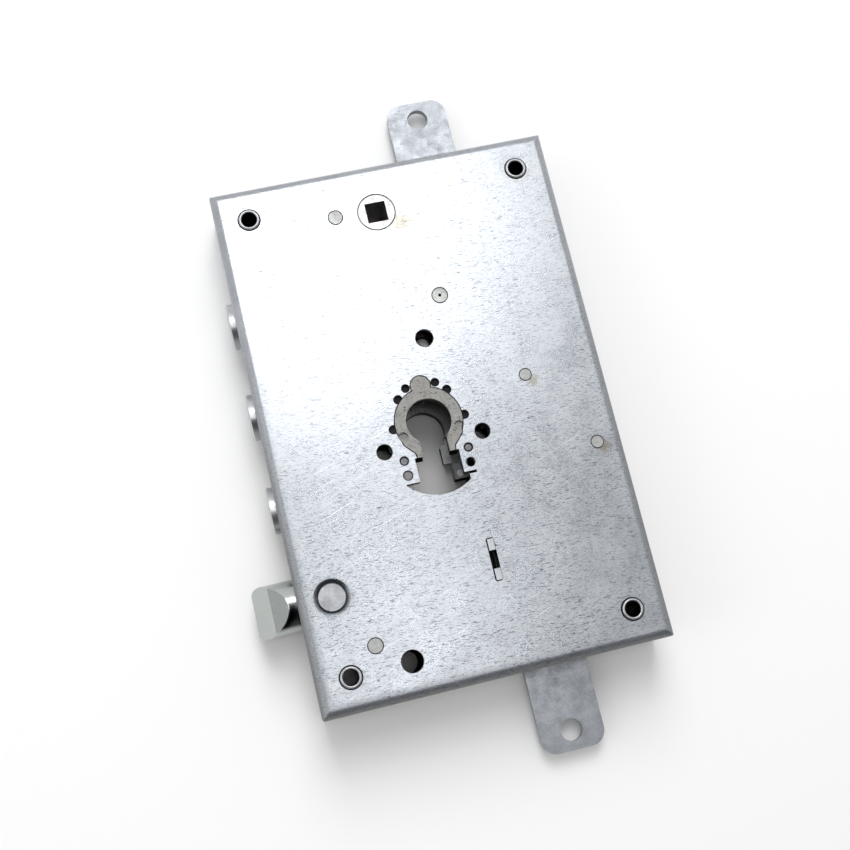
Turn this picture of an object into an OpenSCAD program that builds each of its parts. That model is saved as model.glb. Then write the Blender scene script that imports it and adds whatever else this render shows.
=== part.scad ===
// Mortice lock case for an armoured door: three round deadbolts, a bevelled latch bolt and two locking rods.
// X runs from the bolt edge to the rod side, Y towards the spindle, Z out of the front plate.
// The origin is the middle of the four fixing tubes on the back face.

/* [Case] */
// Width of the case across the bolts
case_w = 133.4; // [126:0.1:150]
// Height of the case along the door edge
case_h = 203.4; // [196:0.1:230]
// Thickness of the case over both faces
case_t = 31; // [30:0.5:36]
// Thickness of the folded sheet
sheet_t = 2; // [1.5:0.1:2.4]
// Thickness of the flat back cover
cover_t = 3; // [2.5:0.1:3.5]
// Outer radius of the folded edges
bend_r = 3.2; // [2:0.1:3.5]
// Gap between two folded walls at a corner
corner_gap = 0.6; // [0.3:0.1:1.5]
// Radius of an upright corner
corner_r = 1.2; // [0.2:0.1:1.8]
// Broken edge round the punched holes
edge_break = 0.15; // [0.1:0.05:0.4]

/* [Fixing tubes] */
// Distance of a tube from the side edge
fixing_inset_x = 13.3; // [11:0.1:14]
// Distance of a tube from the end edge
fixing_inset_y = 13; // [10:0.1:14]
// Bore for the fixing screw
fixing_bore_d = 6; // [4:0.1:6.6]
// Outside of the tube where it shows
fixing_tube_d = 7.9; // [7.2:0.1:9]
// Height of the tube rim over the front plate
fixing_proud = 0.4; // [0.1:0.1:1]

/* [Cylinder] */
// Backset, bolt edge to cylinder centre
backset = 62.7; // [60:0.1:66]
// Cylinder centre below the middle of the case
cylinder_down = 3; // [0:0.5:5]
// Round part of the profile cylinder hole
cylinder_d = 17.2; // [17:0.05:17.4]
// Width of the neck of the profile cylinder hole
cylinder_neck_w = 10.4; // [10.1:0.1:11]
// Outside of the ring insert
ring_d = 25.7; // [24:0.1:26]
// Thickness of the ring insert
ring_t = 5; // [4:0.1:6]
// Distance between the two escutcheon screws
escutcheon_pitch = 38; // [37:0.5:39]
// Escutcheon screws below the cylinder centre
escutcheon_down = 8.2; // [7:0.1:10]
// Hole for an escutcheon screw in the front plate
escutcheon_d = 6; // [5:0.1:6.6]

/* [Bolts] */
// Diameter of a deadbolt
bolt_d = 18; // [16:0.1:18.4]
// Distance between neighbouring deadbolts
bolt_pitch = 37; // [34:0.5:38]
// Middle deadbolt above the cylinder centre
bolt_up = 18.5; // [17:0.5:20]
// How far a deadbolt stands out when it is drawn in
bolt_proud = 2.8; // [1:0.1:5]
// Travel of the deadbolts
throw = 28; // [20:1:28]

/* [Latch] */
// Diameter of the latch bolt
latch_d = 20; // [18:0.1:20.4]
// Latch bolt from the lower end of the case
latch_inset = 43.2; // [42.5:0.1:46]
// How far the latch bolt stands out at rest
latch_proud = 16.3; // [15:0.1:18]
// Length of the bevel on the latch bolt
bevel_l = 13; // [11:0.1:14]
// Side of the square latch stem
stem_w = 6; // [5:0.1:6.4]
// Wire of the latch spring
spring_wire_d = 1.2; // [0.8:0.1:1.4]
// Turns of the latch spring
spring_turns = 12; // [8:1:14]

/* [Spindle] */
// Spindle centre from the upper end of the case
spindle_inset = 19.7; // [18:0.1:23]
// Spindle nearer to the bolts than the cylinder
spindle_side = 0.6; // [0:0.1:1]
// Square hole for the handle spindle
spindle_square = 8; // [7:0.1:8.2]
// Diameter of the follower in the plates
follower_d = 14.8; // [14.4:0.1:17]
// Turn of the follower that draws the latch in
follower_turn = 30; // [24:1:32]

/* [Rods] */
// Width of a locking rod where it leaves the case
rod_w = 25; // [22:0.5:26]
// Thickness of a locking rod
rod_t = 3; // [2.5:0.1:3.5]
// Middle of the rods beside the middle of the case
rod_side = 24.5; // [24:0.1:26]
// Length of a rod outside the case at rest
rod_out = 33.3; // [26:0.1:60]
// Hole in the end of a rod
rod_hole_d = 8.5; // [6:0.1:9]
// Distance of the hole from the end of a rod
rod_hole_inset = 7.6; // [7:0.1:9]

/* [Gears] */
// Teeth of the drive wheel
drive_wheel_teeth = 32; // [31:1:33]
// Teeth of the rod wheel
rod_wheel_teeth = 34; // [33:1:35]
// Tooth module of the two racks and their pinions
rack_module = 1.25; // [1.2:0.05:1.3]
// Teeth of the drive pinion
drive_pinion_teeth = 12; // [12:1:12]
// Teeth of the rod pinion
rod_pinion_teeth = 10; // [10:1:10]

/* [Clearances] */
// Radial clearance of a shaft in its bore
running_gap = 0.05; // [0.02:0.01:0.1]
// Clearance of a sliding piece in its guide
sliding_gap = 0.15; // [0.1:0.01:0.2]
// Clearance above and below a moving layer
layer_gap = 0.3; // [0.2:0.05:0.4]
// Play between teeth in mesh
tooth_play = 0.2; // [0.15:0.01:0.3]
// Clearance of a driving pin in its slot
link_gap = 0.3; // [0.25:0.05:0.4]
// Gap round the ring insert in the front plate
ring_gap = 0.4; // [0.2:0.05:0.5]
// Gap round a fixing tube in the front plate
tube_gap = 0.4; // [0.2:0.05:0.8]

/* [Hidden] */

// Smoothness of round pieces
round_fn = 64;
// Overshoot of a cut past a face
cut = 1;
// Chamfer on the end of a staked pin
pin_chamfer = 0.3;

// Heights of the layers, from the back face up
front_in = case_t - sheet_t;
bolt_z = case_t / 2;
rod_z = cover_t + 0.5;
carrier_t = 3;
carrier_z = bolt_z - carrier_t / 2;
wheel_t = 3.5;
wheel_z = carrier_z - 1 - wheel_t;
bar_t = 2;
bar_z = front_in - 1 - bar_t;
lever_t = 2.8;
lever_z = bar_z - 0.4 - lever_t;
anti_drill_t = 2;
anti_drill_z = front_in - anti_drill_t;
ring_plate_t = 1.5;
flange_t = 1;

// Places in the plan
edge_x = -case_w / 2;
fixing_x = case_w / 2 - fixing_inset_x;
fixing_y = case_h / 2 - fixing_inset_y;
cyl_x = edge_x + backset;
cyl_y = -cylinder_down;
bolt_ys = [for (i = [-1:1]) cyl_y + bolt_up + i * bolt_pitch];
latch_y = -case_h / 2 + latch_inset;
spindle_x = cyl_x - spindle_side;
spindle_y = case_h / 2 - spindle_inset;
rod_x = rod_side;
saddle_rivet_x = edge_x + 12.9;
service_x = edge_x + 36.2;
service_y = latch_y - 29.8;

// Inner axles and pins across the case, as shares of its width from the bolt edge
drive_share = 0.514;
guide_pin_share = 0.5877;
rod_gear_share = 0.773;
rod_pin_share = 0.9265;
bracket_share = 0.5585;
drive_x = edge_x + case_w * drive_share;
guide_pin_x = edge_x + case_w * guide_pin_share;
rod_gear_x = edge_x + case_w * rod_gear_share;
rod_pin_x = edge_x + case_w * rod_pin_share;
bracket_x = edge_x + case_w * bracket_share;

// The same pins up the case, from the cylinder centre or the latch bolt
drive_up = 31.7;
guide_pin_up = 47.1;
rod_gear_up = 9.5;
rod_pin_down = 21.8;
bracket_down = 0.7;
drive_y = cyl_y + drive_up;
guide_pin_y = cyl_y + guide_pin_up;
rod_gear_y = cyl_y + rod_gear_up;
rod_pin_y = cyl_y - rod_pin_down;
bracket_y = latch_y - bracket_down;
saddle_rivet_y = bracket_y;

// Pins and axles
lever_axle_d = 5.8;
guide_pin_d = 6.3;
drive_axle_d = 7;
rod_axle_d = 4.8;
rod_pin_d = 5;
crank_axle_d = 5.9;
sight_hole_d = 6.9;
service_hole_d = 8.3;
axle_shoulder = 4;
tube_hole_d = fixing_tube_d + 2 * tube_gap;
sleeve_d = 12;
back_screw_d = 12;

// Deadbolts and the bolt wall
strip_t = 2;
strip_x = edge_x + sheet_t;
spine_x = strip_x + strip_t + 0.5 + throw;
tail_l = 6.5;
bolt_tail_x = spine_x + tail_l;
spine_w = 7;
key_l = 3;
key_w = 6;
screw_clear = escutcheon_d / 2 + 1;
bolt_chamfer = 0.6;

// Drive pinion and carriage rack
pressure = 25;
addendum = 0.9;
dedendum = 1.15;
flank_steps = 4;
drive_pinion_r = rack_module * drive_pinion_teeth / 2;
rack_pitch = PI * rack_module;
rack_y = drive_y + drive_pinion_r;
rack_root_y = rack_y + dedendum * rack_module;
arm_wall = 3.1;
arm_top_y = guide_pin_y + guide_pin_d / 2 + sliding_gap + arm_wall;
key_y = (rack_root_y + arm_top_y) / 2;

// Wheels and rod racks
wheel_line = [rod_gear_x - drive_x, rod_gear_y - drive_y];
wheel_module = 2 * norm(wheel_line) / (drive_wheel_teeth + rod_wheel_teeth);
wheel_angle = atan2(wheel_line[1], wheel_line[0]);
rod_pinion_r = rack_module * rod_pinion_teeth / 2;
rod_travel = throw / drive_pinion_r * drive_wheel_teeth / rod_wheel_teeth * rod_pinion_r;
upper_rack_x = rod_gear_x - rod_pinion_r;
lower_rack_x = rod_gear_x + rod_pinion_r;
upper_root_x = upper_rack_x - dedendum * rack_module;
lower_root_x = lower_rack_x + dedendum * rack_module;

// Follower, transfer lever and push bar
lever_side = 16.1;
lever_up = 1;
lever_x = spindle_x - lever_side;
lever_y = spindle_y + lever_up;
lever_line = [lever_x - spindle_x, lever_y - spindle_y];
sector_teeth = 13;
sector_module = norm(lever_line) / sector_teeth;
sector_angle = atan2(lever_line[1], lever_line[0]);
lever_arm = 13;
bar_travel = 2 * lever_arm * sin(follower_turn / 2);
link_pin_d = 4;
lever_pin_x = lever_x - lever_arm * cos(follower_turn / 2);
lever_pin_y = lever_y + lever_arm * sin(follower_turn / 2);
bar_left = cyl_x - 33.5;
bar_right = cyl_x - 24.5;
bar_foot_rise = 8;
guide_strap_drop = 6;

// Latch crank
crank_x = edge_x + 24.4;
crank_y = latch_y - 21.3;
latch_travel = latch_proud - bolt_proud;
crank_turn = 2 * asin(latch_travel / 2 / (latch_y - crank_y));
link_start = 33;
link_arm = bar_travel / (sin(link_start) + sin(crank_turn - link_start));
crank_pin_x = crank_x + link_arm * cos(link_start);
crank_pin_y = crank_y + link_arm * sin(link_start);
drive_pin_d = 5;
crank_root_w = 10;
crank_tip_w = 6.6;
drive_pin_x = crank_x - latch_travel / 2;
drive_pin_y = crank_y + (latch_y - crank_y) * cos(crank_turn / 2);

// Latch bolt and stem
latch_tip_x = edge_x - latch_proud;
latch_tail_x = edge_x + 21.7;
latch_flat_x = edge_x + 8.7;
latch_flat_z = lever_z - layer_gap;
stem_end_x = bracket_x + 6;
bracket_t = 2.35;
slot_x = bracket_x - 0.2;
clip_t = 1;
spring_mean_d = 10.4;

// Front ring, small holes and pins beside it, from the cylinder centre
bump_up = 13.9;
bump_d = 7.4;
horn_end = 13;
small_holes = [
    [-5.75, 13.95, 1.6], [5.75, 13.95, 1.6],
    [-9.5, 10.3, 1.7], [9.5, 10.3, 1.7],
    [-13.8, -0.55, 1.7], [13.8, -0.55, 1.7]
];
// Corners of the two plates that hold the rings, from the cylinder centre
anti_drill_low = [-22.9, -32];
anti_drill_high = [24, 22];
ring_plate_low = [-14.6, -20.5];
ring_plate_high = [14.6, 19.3];
// Holes beside the neck, each a place, the radius in the front plate and the radius of its pin
ring_pin_places = [
    [-12.52, -13.04, 1.72, 1.3], [-12.4, -18.72, 1.85, 1.6],
    [12.3, -13.09, 1.72, 1.2], [11.8, -18.73, 1.75, 0]
];
// The pins of the back ring stand a little higher and are all alike
back_pin_rise = 1.2;
back_pin_d = 2.8;
// Top of the arc in the front plate and in the back plates
front_arc_top = 22;
back_arc_top = 20.6;

// Round bar standing on z0
module post(x, y, z0, z1, d) {
    translate([x, y, z0]) cylinder(h = z1 - z0, d = d, $fn = round_fn);
}

// Hole right through a layer between two heights
module bore(x, y, z0, z1, d) {
    post(x, y, z0 - cut, z1 + cut, d);
}

// Hole punched in the front plate, with its edge broken
module punched_hole(x, y, d) {
    bore(x, y, front_in, case_t, d);
    translate([x, y, case_t - edge_break])
        cylinder(h = edge_break + cut, d1 = d, d2 = d + 2 * (edge_break + cut), $fn = round_fn);
}

// Pin staked in both plates, with a small chamfer on each end
module staked_pin(x, y, d) {
    translate([x, y, 0]) cylinder(h = pin_chamfer, d1 = d - 2 * pin_chamfer, d2 = d, $fn = round_fn);
    post(x, y, pin_chamfer, case_t - pin_chamfer, d);
    translate([x, y, case_t - pin_chamfer])
        cylinder(h = pin_chamfer, d1 = d, d2 = d - 2 * pin_chamfer, $fn = round_fn);
}

// Box given by its two corners
module block(low, high) {
    translate(low) cube(high - low);
}

// Flat slot with round ends between two centres on one line
module slot_2d(a, b, w) {
    along = b - a;
    translate(a) circle(d = w, $fn = round_fn);
    translate(b) circle(d = w, $fn = round_fn);
    translate(a) rotate(atan2(along[1], along[0])) translate([0, -w / 2]) square([norm(along), w]);
}

// Rectangle with two rounded corners on its upper side
module tab_2d(w, h, r) {
    translate([-w / 2, 0]) square([w, h - r]);
    translate([-w / 2 + r, 0]) square([w - 2 * r, h]);
    for (side = [-1, 1]) translate([side * (w / 2 - r), h - r]) circle(r = r, $fn = round_fn);
}

// Angle that an involute gains between its base circle and radius r
function involute(r, base) = r <= base ? 0 : tan(acos(base / r)) - acos(base / r) * PI / 180;

// Half the angle of a tooth at radius r
function half_tooth(r, pitch_r, teeth, play) =
    let (base = pitch_r * cos(pressure))
    (PI / 2 / teeth - play / 4 / pitch_r + involute(pitch_r, base) - involute(r, base)) * 180 / PI;

// Outline of a spur gear with one tooth on the X axis
function gear_points(teeth, module_size, play) =
    let (
        pitch_r = teeth * module_size / 2,
        root_r = pitch_r - dedendum * module_size,
        tip_r = pitch_r + addendum * module_size,
        rise = [for (i = [0:flank_steps]) root_r + (tip_r - root_r) * i / flank_steps]
    )
    [
        for (n = [0:teeth - 1], side = [-1, 1], i = [0:flank_steps])
            let (
                r = rise[side < 0 ? i : flank_steps - i],
                a = n * 360 / teeth + side * half_tooth(r, pitch_r, teeth, play)
            )
            [r * cos(a), r * sin(a)]
    ];

module gear_2d(teeth, module_size, play) {
    polygon(gear_points(teeth, module_size, play));
}

// Row of rack teeth along X that point down, with a gap centred on x = 0 and the pitch line on y = 0
module rack_2d(first, last) {
    slope = tan(pressure);
    half = rack_pitch / 4 - tooth_play / 4;
    tip = addendum * rack_module;
    root = dedendum * rack_module + 0.4;
    for (n = [first:last])
        translate([(n + 0.5) * rack_pitch, 0])
            polygon([
                [-half - root * slope, root], [-half + tip * slope, -tip],
                [half - tip * slope, -tip], [half + root * slope, root]
            ]);
}

// Solid outline of a ring insert, grown all round
module ring_outline_2d(grow) {
    r = ring_d / 2 + grow;
    circle(r = r, $fn = round_fn);
    translate([0, bump_up]) circle(d = bump_d + 2 * grow, $fn = round_fn);
    side = r * 0.9;
    knee = [r - 1.75, -7.3 - 0.4 * grow];
    ankle = [cylinder_neck_w / 2 + 2.35 + grow, -11.1 - 0.4 * grow];
    foot = [cylinder_neck_w / 2 + 2.05 + grow, -horn_end - grow];
    polygon([
        [-side, -r * 0.43], [-knee[0], knee[1]], [-ankle[0], ankle[1]], [-foot[0], foot[1]],
        foot, ankle, knee, [side, -r * 0.43]
    ]);
}

// Ring insert with the profile cylinder hole cut out
module ring_2d(grow) {
    difference() {
        ring_outline_2d(grow);
        circle(d = cylinder_d, $fn = round_fn);
        translate([-cylinder_neck_w / 2, -horn_end - grow - cut])
            square([cylinder_neck_w, horn_end + grow + cut]);
    }
}

// Neck and lower arc of the opening below the ring, the arc cut off at its left and right ends
module lower_opening_2d(arc_top, arc_left, arc_right) {
    neck = 8.55;
    arc_r = 18.4;
    arc_low = -10 - arc_r - cut;
    translate([-neck, -arc_top - cut]) square([2 * neck, arc_top - horn_end + cut]);
    intersection() {
        translate([-0.3, -10]) circle(r = arc_r, $fn = round_fn);
        translate([arc_left, arc_low]) square([arc_right - arc_left, -arc_top - arc_low]);
    }
}

// Opening in the front plate, with the narrow slit at the right end of its arc
module front_opening_2d() {
    arc_right = 10.35;
    slit_end = 13.2;
    slit_h = 1.05;
    lower_opening_2d(front_arc_top, -13.8, arc_right);
    translate([arc_right - cut, -front_arc_top - slit_h]) square([slit_end - arc_right + cut, slit_h]);
}

module back_opening_2d() {
    lower_opening_2d(back_arc_top, -13.6, 12.8);
}

// Screw holes beside the cylinder
module escutcheon_holes(z0, z1, d) {
    for (side = [-1, 1]) bore(cyl_x + side * escutcheon_pitch / 2, cyl_y - escutcheon_down, z0, z1, d);
}

module back_pin_places() {
    for (p = ring_pin_places) translate([cyl_x + p[0], cyl_y + p[1] + back_pin_rise, 0]) children();
}

module fixing_places() {
    for (sx = [-1, 1], sy = [-1, 1]) translate([sx * fixing_x, sy * fixing_y, 0]) children();
}

// Rectangle about the origin with four round corners
module rounded_2d(w, h, r) {
    square([w - 2 * r, h], center = true);
    square([w, h - 2 * r], center = true);
    for (sx = [-1, 1], sy = [-1, 1]) translate([sx * (w / 2 - r), sy * (h / 2 - r)])
        circle(r = r, $fn = round_fn);
}

// Outer block of the shell with its front edges and upright corners rounded
module shell_block() {
    intersection() {
        linear_extrude(case_t) rounded_2d(case_w, case_h, corner_r);
        translate([0, case_h / 2, 0]) rotate([90, 0, 0]) linear_extrude(case_h) tab_2d(case_w, case_t, bend_r);
        rotate([90, 0, 90]) translate([0, 0, -case_w / 2]) linear_extrude(case_w)
            tab_2d(case_h, case_t, bend_r);
    }
}

// Slots in both end walls where the rods leave the case
module rod_exits() {
    for (side = [-1, 1])
        translate([rod_x, side * (case_h / 2 - sheet_t / 2), rod_z + rod_t / 2])
            cube([rod_w + 2 * layer_gap, sheet_t + 2 * cut, rod_t + 2 * layer_gap], center = true);
}

// Seam between two folded walls at each corner
module corner_seams() {
    for (sx = [-1, 1], sy = [-1, 1])
        translate([sx * (case_w / 2 - sheet_t / 2), sy * (case_h / 2 - sheet_t - corner_gap / 2), 0])
            translate([-sheet_t / 2 - cut, -corner_gap / 2, -cut])
                cube([sheet_t + 2 * cut, corner_gap, case_t - bend_r + cut]);
}

module front_shell() {
    dimple_d = 13.6;
    dimple_knee_d = 11.7;
    dimple_floor_d = 10.3;
    dimple_deep = 0.9;
    dimple_knee = 0.35;
    color("lightsteelblue")
    difference() {
        shell_block();
        block([-case_w / 2 + sheet_t, -case_h / 2 + sheet_t, -cut],
              [case_w / 2 - sheet_t, case_h / 2 - sheet_t, front_in]);
        corner_seams();
        rod_exits();
        for (y = bolt_ys) translate([edge_x - cut, y, bolt_z]) rotate([0, 90, 0])
            cylinder(h = sheet_t + 2 * cut, d = bolt_d + 2 * sliding_gap, $fn = round_fn);
        translate([edge_x - cut, latch_y, bolt_z]) rotate([0, 90, 0])
            cylinder(h = sheet_t + 2 * cut, d = latch_d + 2 * sliding_gap, $fn = round_fn);
        translate([cyl_x, cyl_y, front_in - cut]) linear_extrude(sheet_t + 2 * cut) {
            ring_outline_2d(ring_gap);
            front_opening_2d();
        }
        for (side = [-1, 1])
            punched_hole(cyl_x + side * escutcheon_pitch / 2, cyl_y - escutcheon_down, escutcheon_d);
        fixing_places() punched_hole(0, 0, tube_hole_d);
        punched_hole(spindle_x, spindle_y, follower_d + 2 * running_gap);
        punched_hole(lever_x, lever_y, lever_axle_d);
        punched_hole(guide_pin_x, guide_pin_y, guide_pin_d);
        punched_hole(drive_x, drive_y, sight_hole_d);
        punched_hole(rod_gear_x, rod_gear_y, rod_axle_d);
        punched_hole(rod_pin_x, rod_pin_y, rod_pin_d);
        punched_hole(crank_x, crank_y, crank_axle_d);
        punched_hole(service_x, service_y, service_hole_d);
        translate([saddle_rivet_x, saddle_rivet_y, case_t - dimple_deep])
            cylinder(h = dimple_deep - dimple_knee, d1 = dimple_floor_d, d2 = dimple_knee_d, $fn = round_fn);
        translate([saddle_rivet_x, saddle_rivet_y, case_t - dimple_knee])
            cylinder(h = dimple_knee, d1 = dimple_knee_d, d2 = dimple_d, $fn = round_fn);
        bore(saddle_rivet_x, saddle_rivet_y, front_in, case_t, rivet_shank_d);
        for (p = concat(small_holes, ring_pin_places))
            punched_hole(cyl_x + p[0], cyl_y + p[1], 2 * p[2]);
        translate([slot_x, bracket_y, front_in - cut]) linear_extrude(sheet_t + 2 * cut) bracket_slot_2d();
    }
}

module back_cover() {
    gap = 0.1;
    color("slategray")
    difference() {
        block([-case_w / 2 + sheet_t + gap, -case_h / 2 + sheet_t + gap, 0],
              [case_w / 2 - sheet_t - gap, case_h / 2 - sheet_t - gap, cover_t]);
        translate([cyl_x, cyl_y, -cut]) linear_extrude(cover_t + 2 * cut) {
            ring_outline_2d(ring_gap);
            back_opening_2d();
        }
        escutcheon_holes(0, cover_t, back_screw_d);
        fixing_places() bore(0, 0, 0, cover_t, fixing_tube_d);
        bore(spindle_x, spindle_y, 0, cover_t, follower_d + 2 * running_gap);
        bore(lever_x, lever_y, 0, cover_t, lever_axle_d);
        bore(drive_x, drive_y, 0, cover_t, drive_axle_d);
        bore(rod_gear_x, rod_gear_y, 0, cover_t, rod_axle_d);
        bore(rod_pin_x, rod_pin_y, 0, cover_t, rod_pin_d);
        bore(crank_x, crank_y, 0, cover_t, crank_axle_d);
        bore(service_x, service_y, 0, cover_t, service_hole_d);
        back_pin_places() bore(0, 0, 0, cover_t, back_pin_d);
    }
}

// Four spacer tubes that stand on the cover, pass through the front plate and end in a bright rim
module fixing_tubes() {
    color("gainsboro")
    fixing_places() difference() {
        union() {
            post(0, 0, 0, case_t + fixing_proud, fixing_tube_d);
            post(0, 0, cover_t, front_in, sleeve_d);
        }
        bore(0, 0, 0, case_t + fixing_proud, fixing_bore_d);
    }
}

module bolt_guide_strip() {
    low_y = latch_y - latch_d / 2 - 4;
    high_y = bolt_ys[2] + bolt_d / 2 + 4;
    color("silver")
    difference() {
        block([strip_x, low_y, cover_t], [strip_x + strip_t, high_y, front_in]);
        for (y = bolt_ys) translate([strip_x - cut, y, bolt_z]) rotate([0, 90, 0])
            cylinder(h = strip_t + 2 * cut, d = bolt_d + 2 * running_gap, $fn = round_fn);
        translate([strip_x - cut, latch_y, bolt_z]) rotate([0, 90, 0])
            cylinder(h = strip_t + 2 * cut, d = latch_d + 2 * running_gap, $fn = round_fn);
    }
}

// Two half-round dents beside the neck of a ring, cut by its outer edge
module ring_dents(z0, h) {
    for (side = [-1, 1]) translate([side * 10.8, -4.2, z0]) cylinder(h = h, d = dent_w, $fn = round_fn);
}

dent_w = 3.8;
dent = 1.4;

module front_cylinder_ring() {
    color("dimgray")
    translate([cyl_x, cyl_y, 0]) difference() {
        union() {
            translate([0, 0, case_t - ring_t]) linear_extrude(ring_t) ring_2d(0);
            translate([0, 0, anti_drill_z - flange_t]) linear_extrude(flange_t) ring_2d(flange_t);
        }
        ring_dents(case_t - dent, dent + cut);
    }
}

module back_cylinder_ring() {
    color("dimgray")
    translate([cyl_x, cyl_y, 0]) difference() {
        union() {
            linear_extrude(ring_t + 0.5) ring_2d(0);
            translate([0, 0, cover_t + ring_plate_t]) linear_extrude(flange_t) ring_2d(flange_t);
        }
        ring_dents(-cut, dent + cut);
    }
}

// Plate behind a cover plate that the ring insert sits in
module ring_seat(z0, thick, low, high, screw_d) {
    difference() {
        block([cyl_x + low[0], cyl_y + low[1], z0], [cyl_x + high[0], cyl_y + high[1], z0 + thick]);
        translate([cyl_x, cyl_y, z0 - cut]) linear_extrude(thick + 2 * cut) ring_outline_2d(running_gap);
        escutcheon_holes(z0, z0 + thick, screw_d);
    }
}

module anti_drill_plate() {
    color("darkslategray")
    difference() {
        ring_seat(anti_drill_z, anti_drill_t, anti_drill_low, anti_drill_high, escutcheon_d);
        translate([cyl_x, cyl_y, anti_drill_z - cut]) linear_extrude(anti_drill_t + 2 * cut) front_opening_2d();
        for (p = ring_pin_places)
            bore(cyl_x + p[0], cyl_y + p[1], anti_drill_z, front_in, 2 * (p[3] > 0 ? p[3] : p[2]));
    }
}

module back_ring_plate() {
    color("darkgray")
    difference() {
        ring_seat(cover_t, ring_plate_t, ring_plate_low, ring_plate_high, back_screw_d);
        translate([cyl_x, cyl_y, cover_t - cut]) linear_extrude(ring_plate_t + 2 * cut) back_opening_2d();
        back_pin_places() bore(0, 0, cover_t, cover_t + ring_plate_t, back_pin_d);
    }
}

// Pins in the anti-drill plate, their ends below the face of the front plate
module front_ring_pins() {
    sunk = 0.6;
    color("gray")
    for (p = ring_pin_places)
        if (p[3] > 0) post(cyl_x + p[0], cyl_y + p[1], anti_drill_z, case_t - sunk, 2 * p[3]);
}

module back_ring_pins() {
    sunk = 0.2;
    color("gray") back_pin_places() post(0, 0, sunk, cover_t + ring_plate_t, back_pin_d);
}

guide_low = anti_drill_z - 7.5;
guide_w = 4.6;
guide_pin_place = [7.6, -21.4];
cylinder_guide_pin_d = 2.8;

// Block under the anti-drill plate that keeps the cylinder body in line
module cylinder_guide() {
    face = cylinder_neck_w / 2 + 0.1;
    color("dimgray")
    translate([cyl_x, cyl_y, 0]) difference() {
        block([face, -23.5, guide_low], [face + guide_w, -17.5, anti_drill_z]);
        bore(guide_pin_place[0], guide_pin_place[1], guide_low, anti_drill_z, cylinder_guide_pin_d);
    }
}

module cylinder_guide_pin() {
    color("gray")
        post(cyl_x + guide_pin_place[0], cyl_y + guide_pin_place[1], guide_low, anti_drill_z - 0.3,
             cylinder_guide_pin_d);
}

// Front-staked pin that the slot of the bolt carrier runs on
module carriage_guide_pin() {
    low_z = carrier_z - 1;
    punch_d = 1.2;
    color("silver")
    difference() {
        union() {
            post(guide_pin_x, guide_pin_y, low_z, case_t - pin_chamfer, guide_pin_d);
            translate([guide_pin_x, guide_pin_y, case_t - pin_chamfer])
                cylinder(h = pin_chamfer, d1 = guide_pin_d, d2 = guide_pin_d - 2 * pin_chamfer, $fn = round_fn);
            post(guide_pin_x, guide_pin_y, carrier_z + carrier_t + layer_gap, front_in, guide_pin_d + 3.2);
        }
        translate([guide_pin_x, guide_pin_y, case_t - punch_d / 2])
            cylinder(h = punch_d / 2 + cut, d1 = 0.1, d2 = punch_d + 2 * cut, $fn = 24);
    }
}

drive_axle_top = carrier_z + carrier_t + 3.4;

module drive_gear_axle() {
    color("silver")
    union() {
        translate([drive_x, drive_y, 0])
            cylinder(h = pin_chamfer, d1 = drive_axle_d - 2 * pin_chamfer, d2 = drive_axle_d, $fn = round_fn);
        post(drive_x, drive_y, pin_chamfer, drive_axle_top - 1, drive_axle_d);
        translate([drive_x, drive_y, drive_axle_top - 1])
            cylinder(h = 1, d1 = drive_axle_d, d2 = drive_axle_d - 2, $fn = round_fn);
        post(drive_x, drive_y, cover_t, wheel_z - layer_gap, drive_axle_d + 5);
    }
}

// Open clip that keeps the drive gear on its axle
module drive_gear_clip() {
    z = carrier_z + carrier_t + 2 * layer_gap;
    color("dimgray")
    difference() {
        post(drive_x, drive_y, z, z + clip_t, drive_axle_d + 5);
        bore(drive_x, drive_y, z, z + clip_t, drive_axle_d);
        block([drive_x - 2, drive_y, z - cut], [drive_x + 2, drive_y + drive_axle_d, z + clip_t + cut]);
    }
}

module rod_gear_axle() {
    color("silver")
    union() {
        staked_pin(rod_gear_x, rod_gear_y, rod_axle_d);
        post(rod_gear_x, rod_gear_y, wheel_z + wheel_t + layer_gap, front_in, rod_axle_d + 3.2);
    }
}

module rod_guide_pin() {
    color("silver")
    union() {
        staked_pin(rod_pin_x, rod_pin_y, rod_pin_d);
        post(rod_pin_x, rod_pin_y, rod_z + rod_t + layer_gap, front_in, rod_pin_d + axle_shoulder);
    }
}

// Axle with a shoulder that carries a lever at lever height
module lever_axle(x, y, d) {
    staked_pin(x, y, d);
    post(x, y, cover_t, lever_z - layer_gap, d + axle_shoulder);
}

module transfer_lever_axle() {
    color("silver") union() lever_axle(lever_x, lever_y, lever_axle_d);
}

module latch_crank_axle() {
    color("silver") union() lever_axle(crank_x, crank_y, crank_axle_d);
}

// Two straps under the front plate that the push bar slides in
module push_bar_guides() {
    wall = 1.4;
    floor_t = 0.7;
    long = 10;
    floor_z = bar_z - layer_gap - floor_t;
    left = bar_left - layer_gap;
    right = bar_right + layer_gap;
    color("silver")
    for (y = [bolt_ys[1] + bolt_pitch / 2, bolt_ys[0] - bolt_pitch / 2 - guide_strap_drop])
        difference() {
            block([left - wall, y - long / 2, floor_z], [right + wall, y + long / 2, front_in]);
            block([left, y - long / 2 - cut, floor_z + floor_t], [right, y + long / 2 + cut, front_in + cut]);
        }
}

rivet_shank_d = 4.8;

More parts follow.
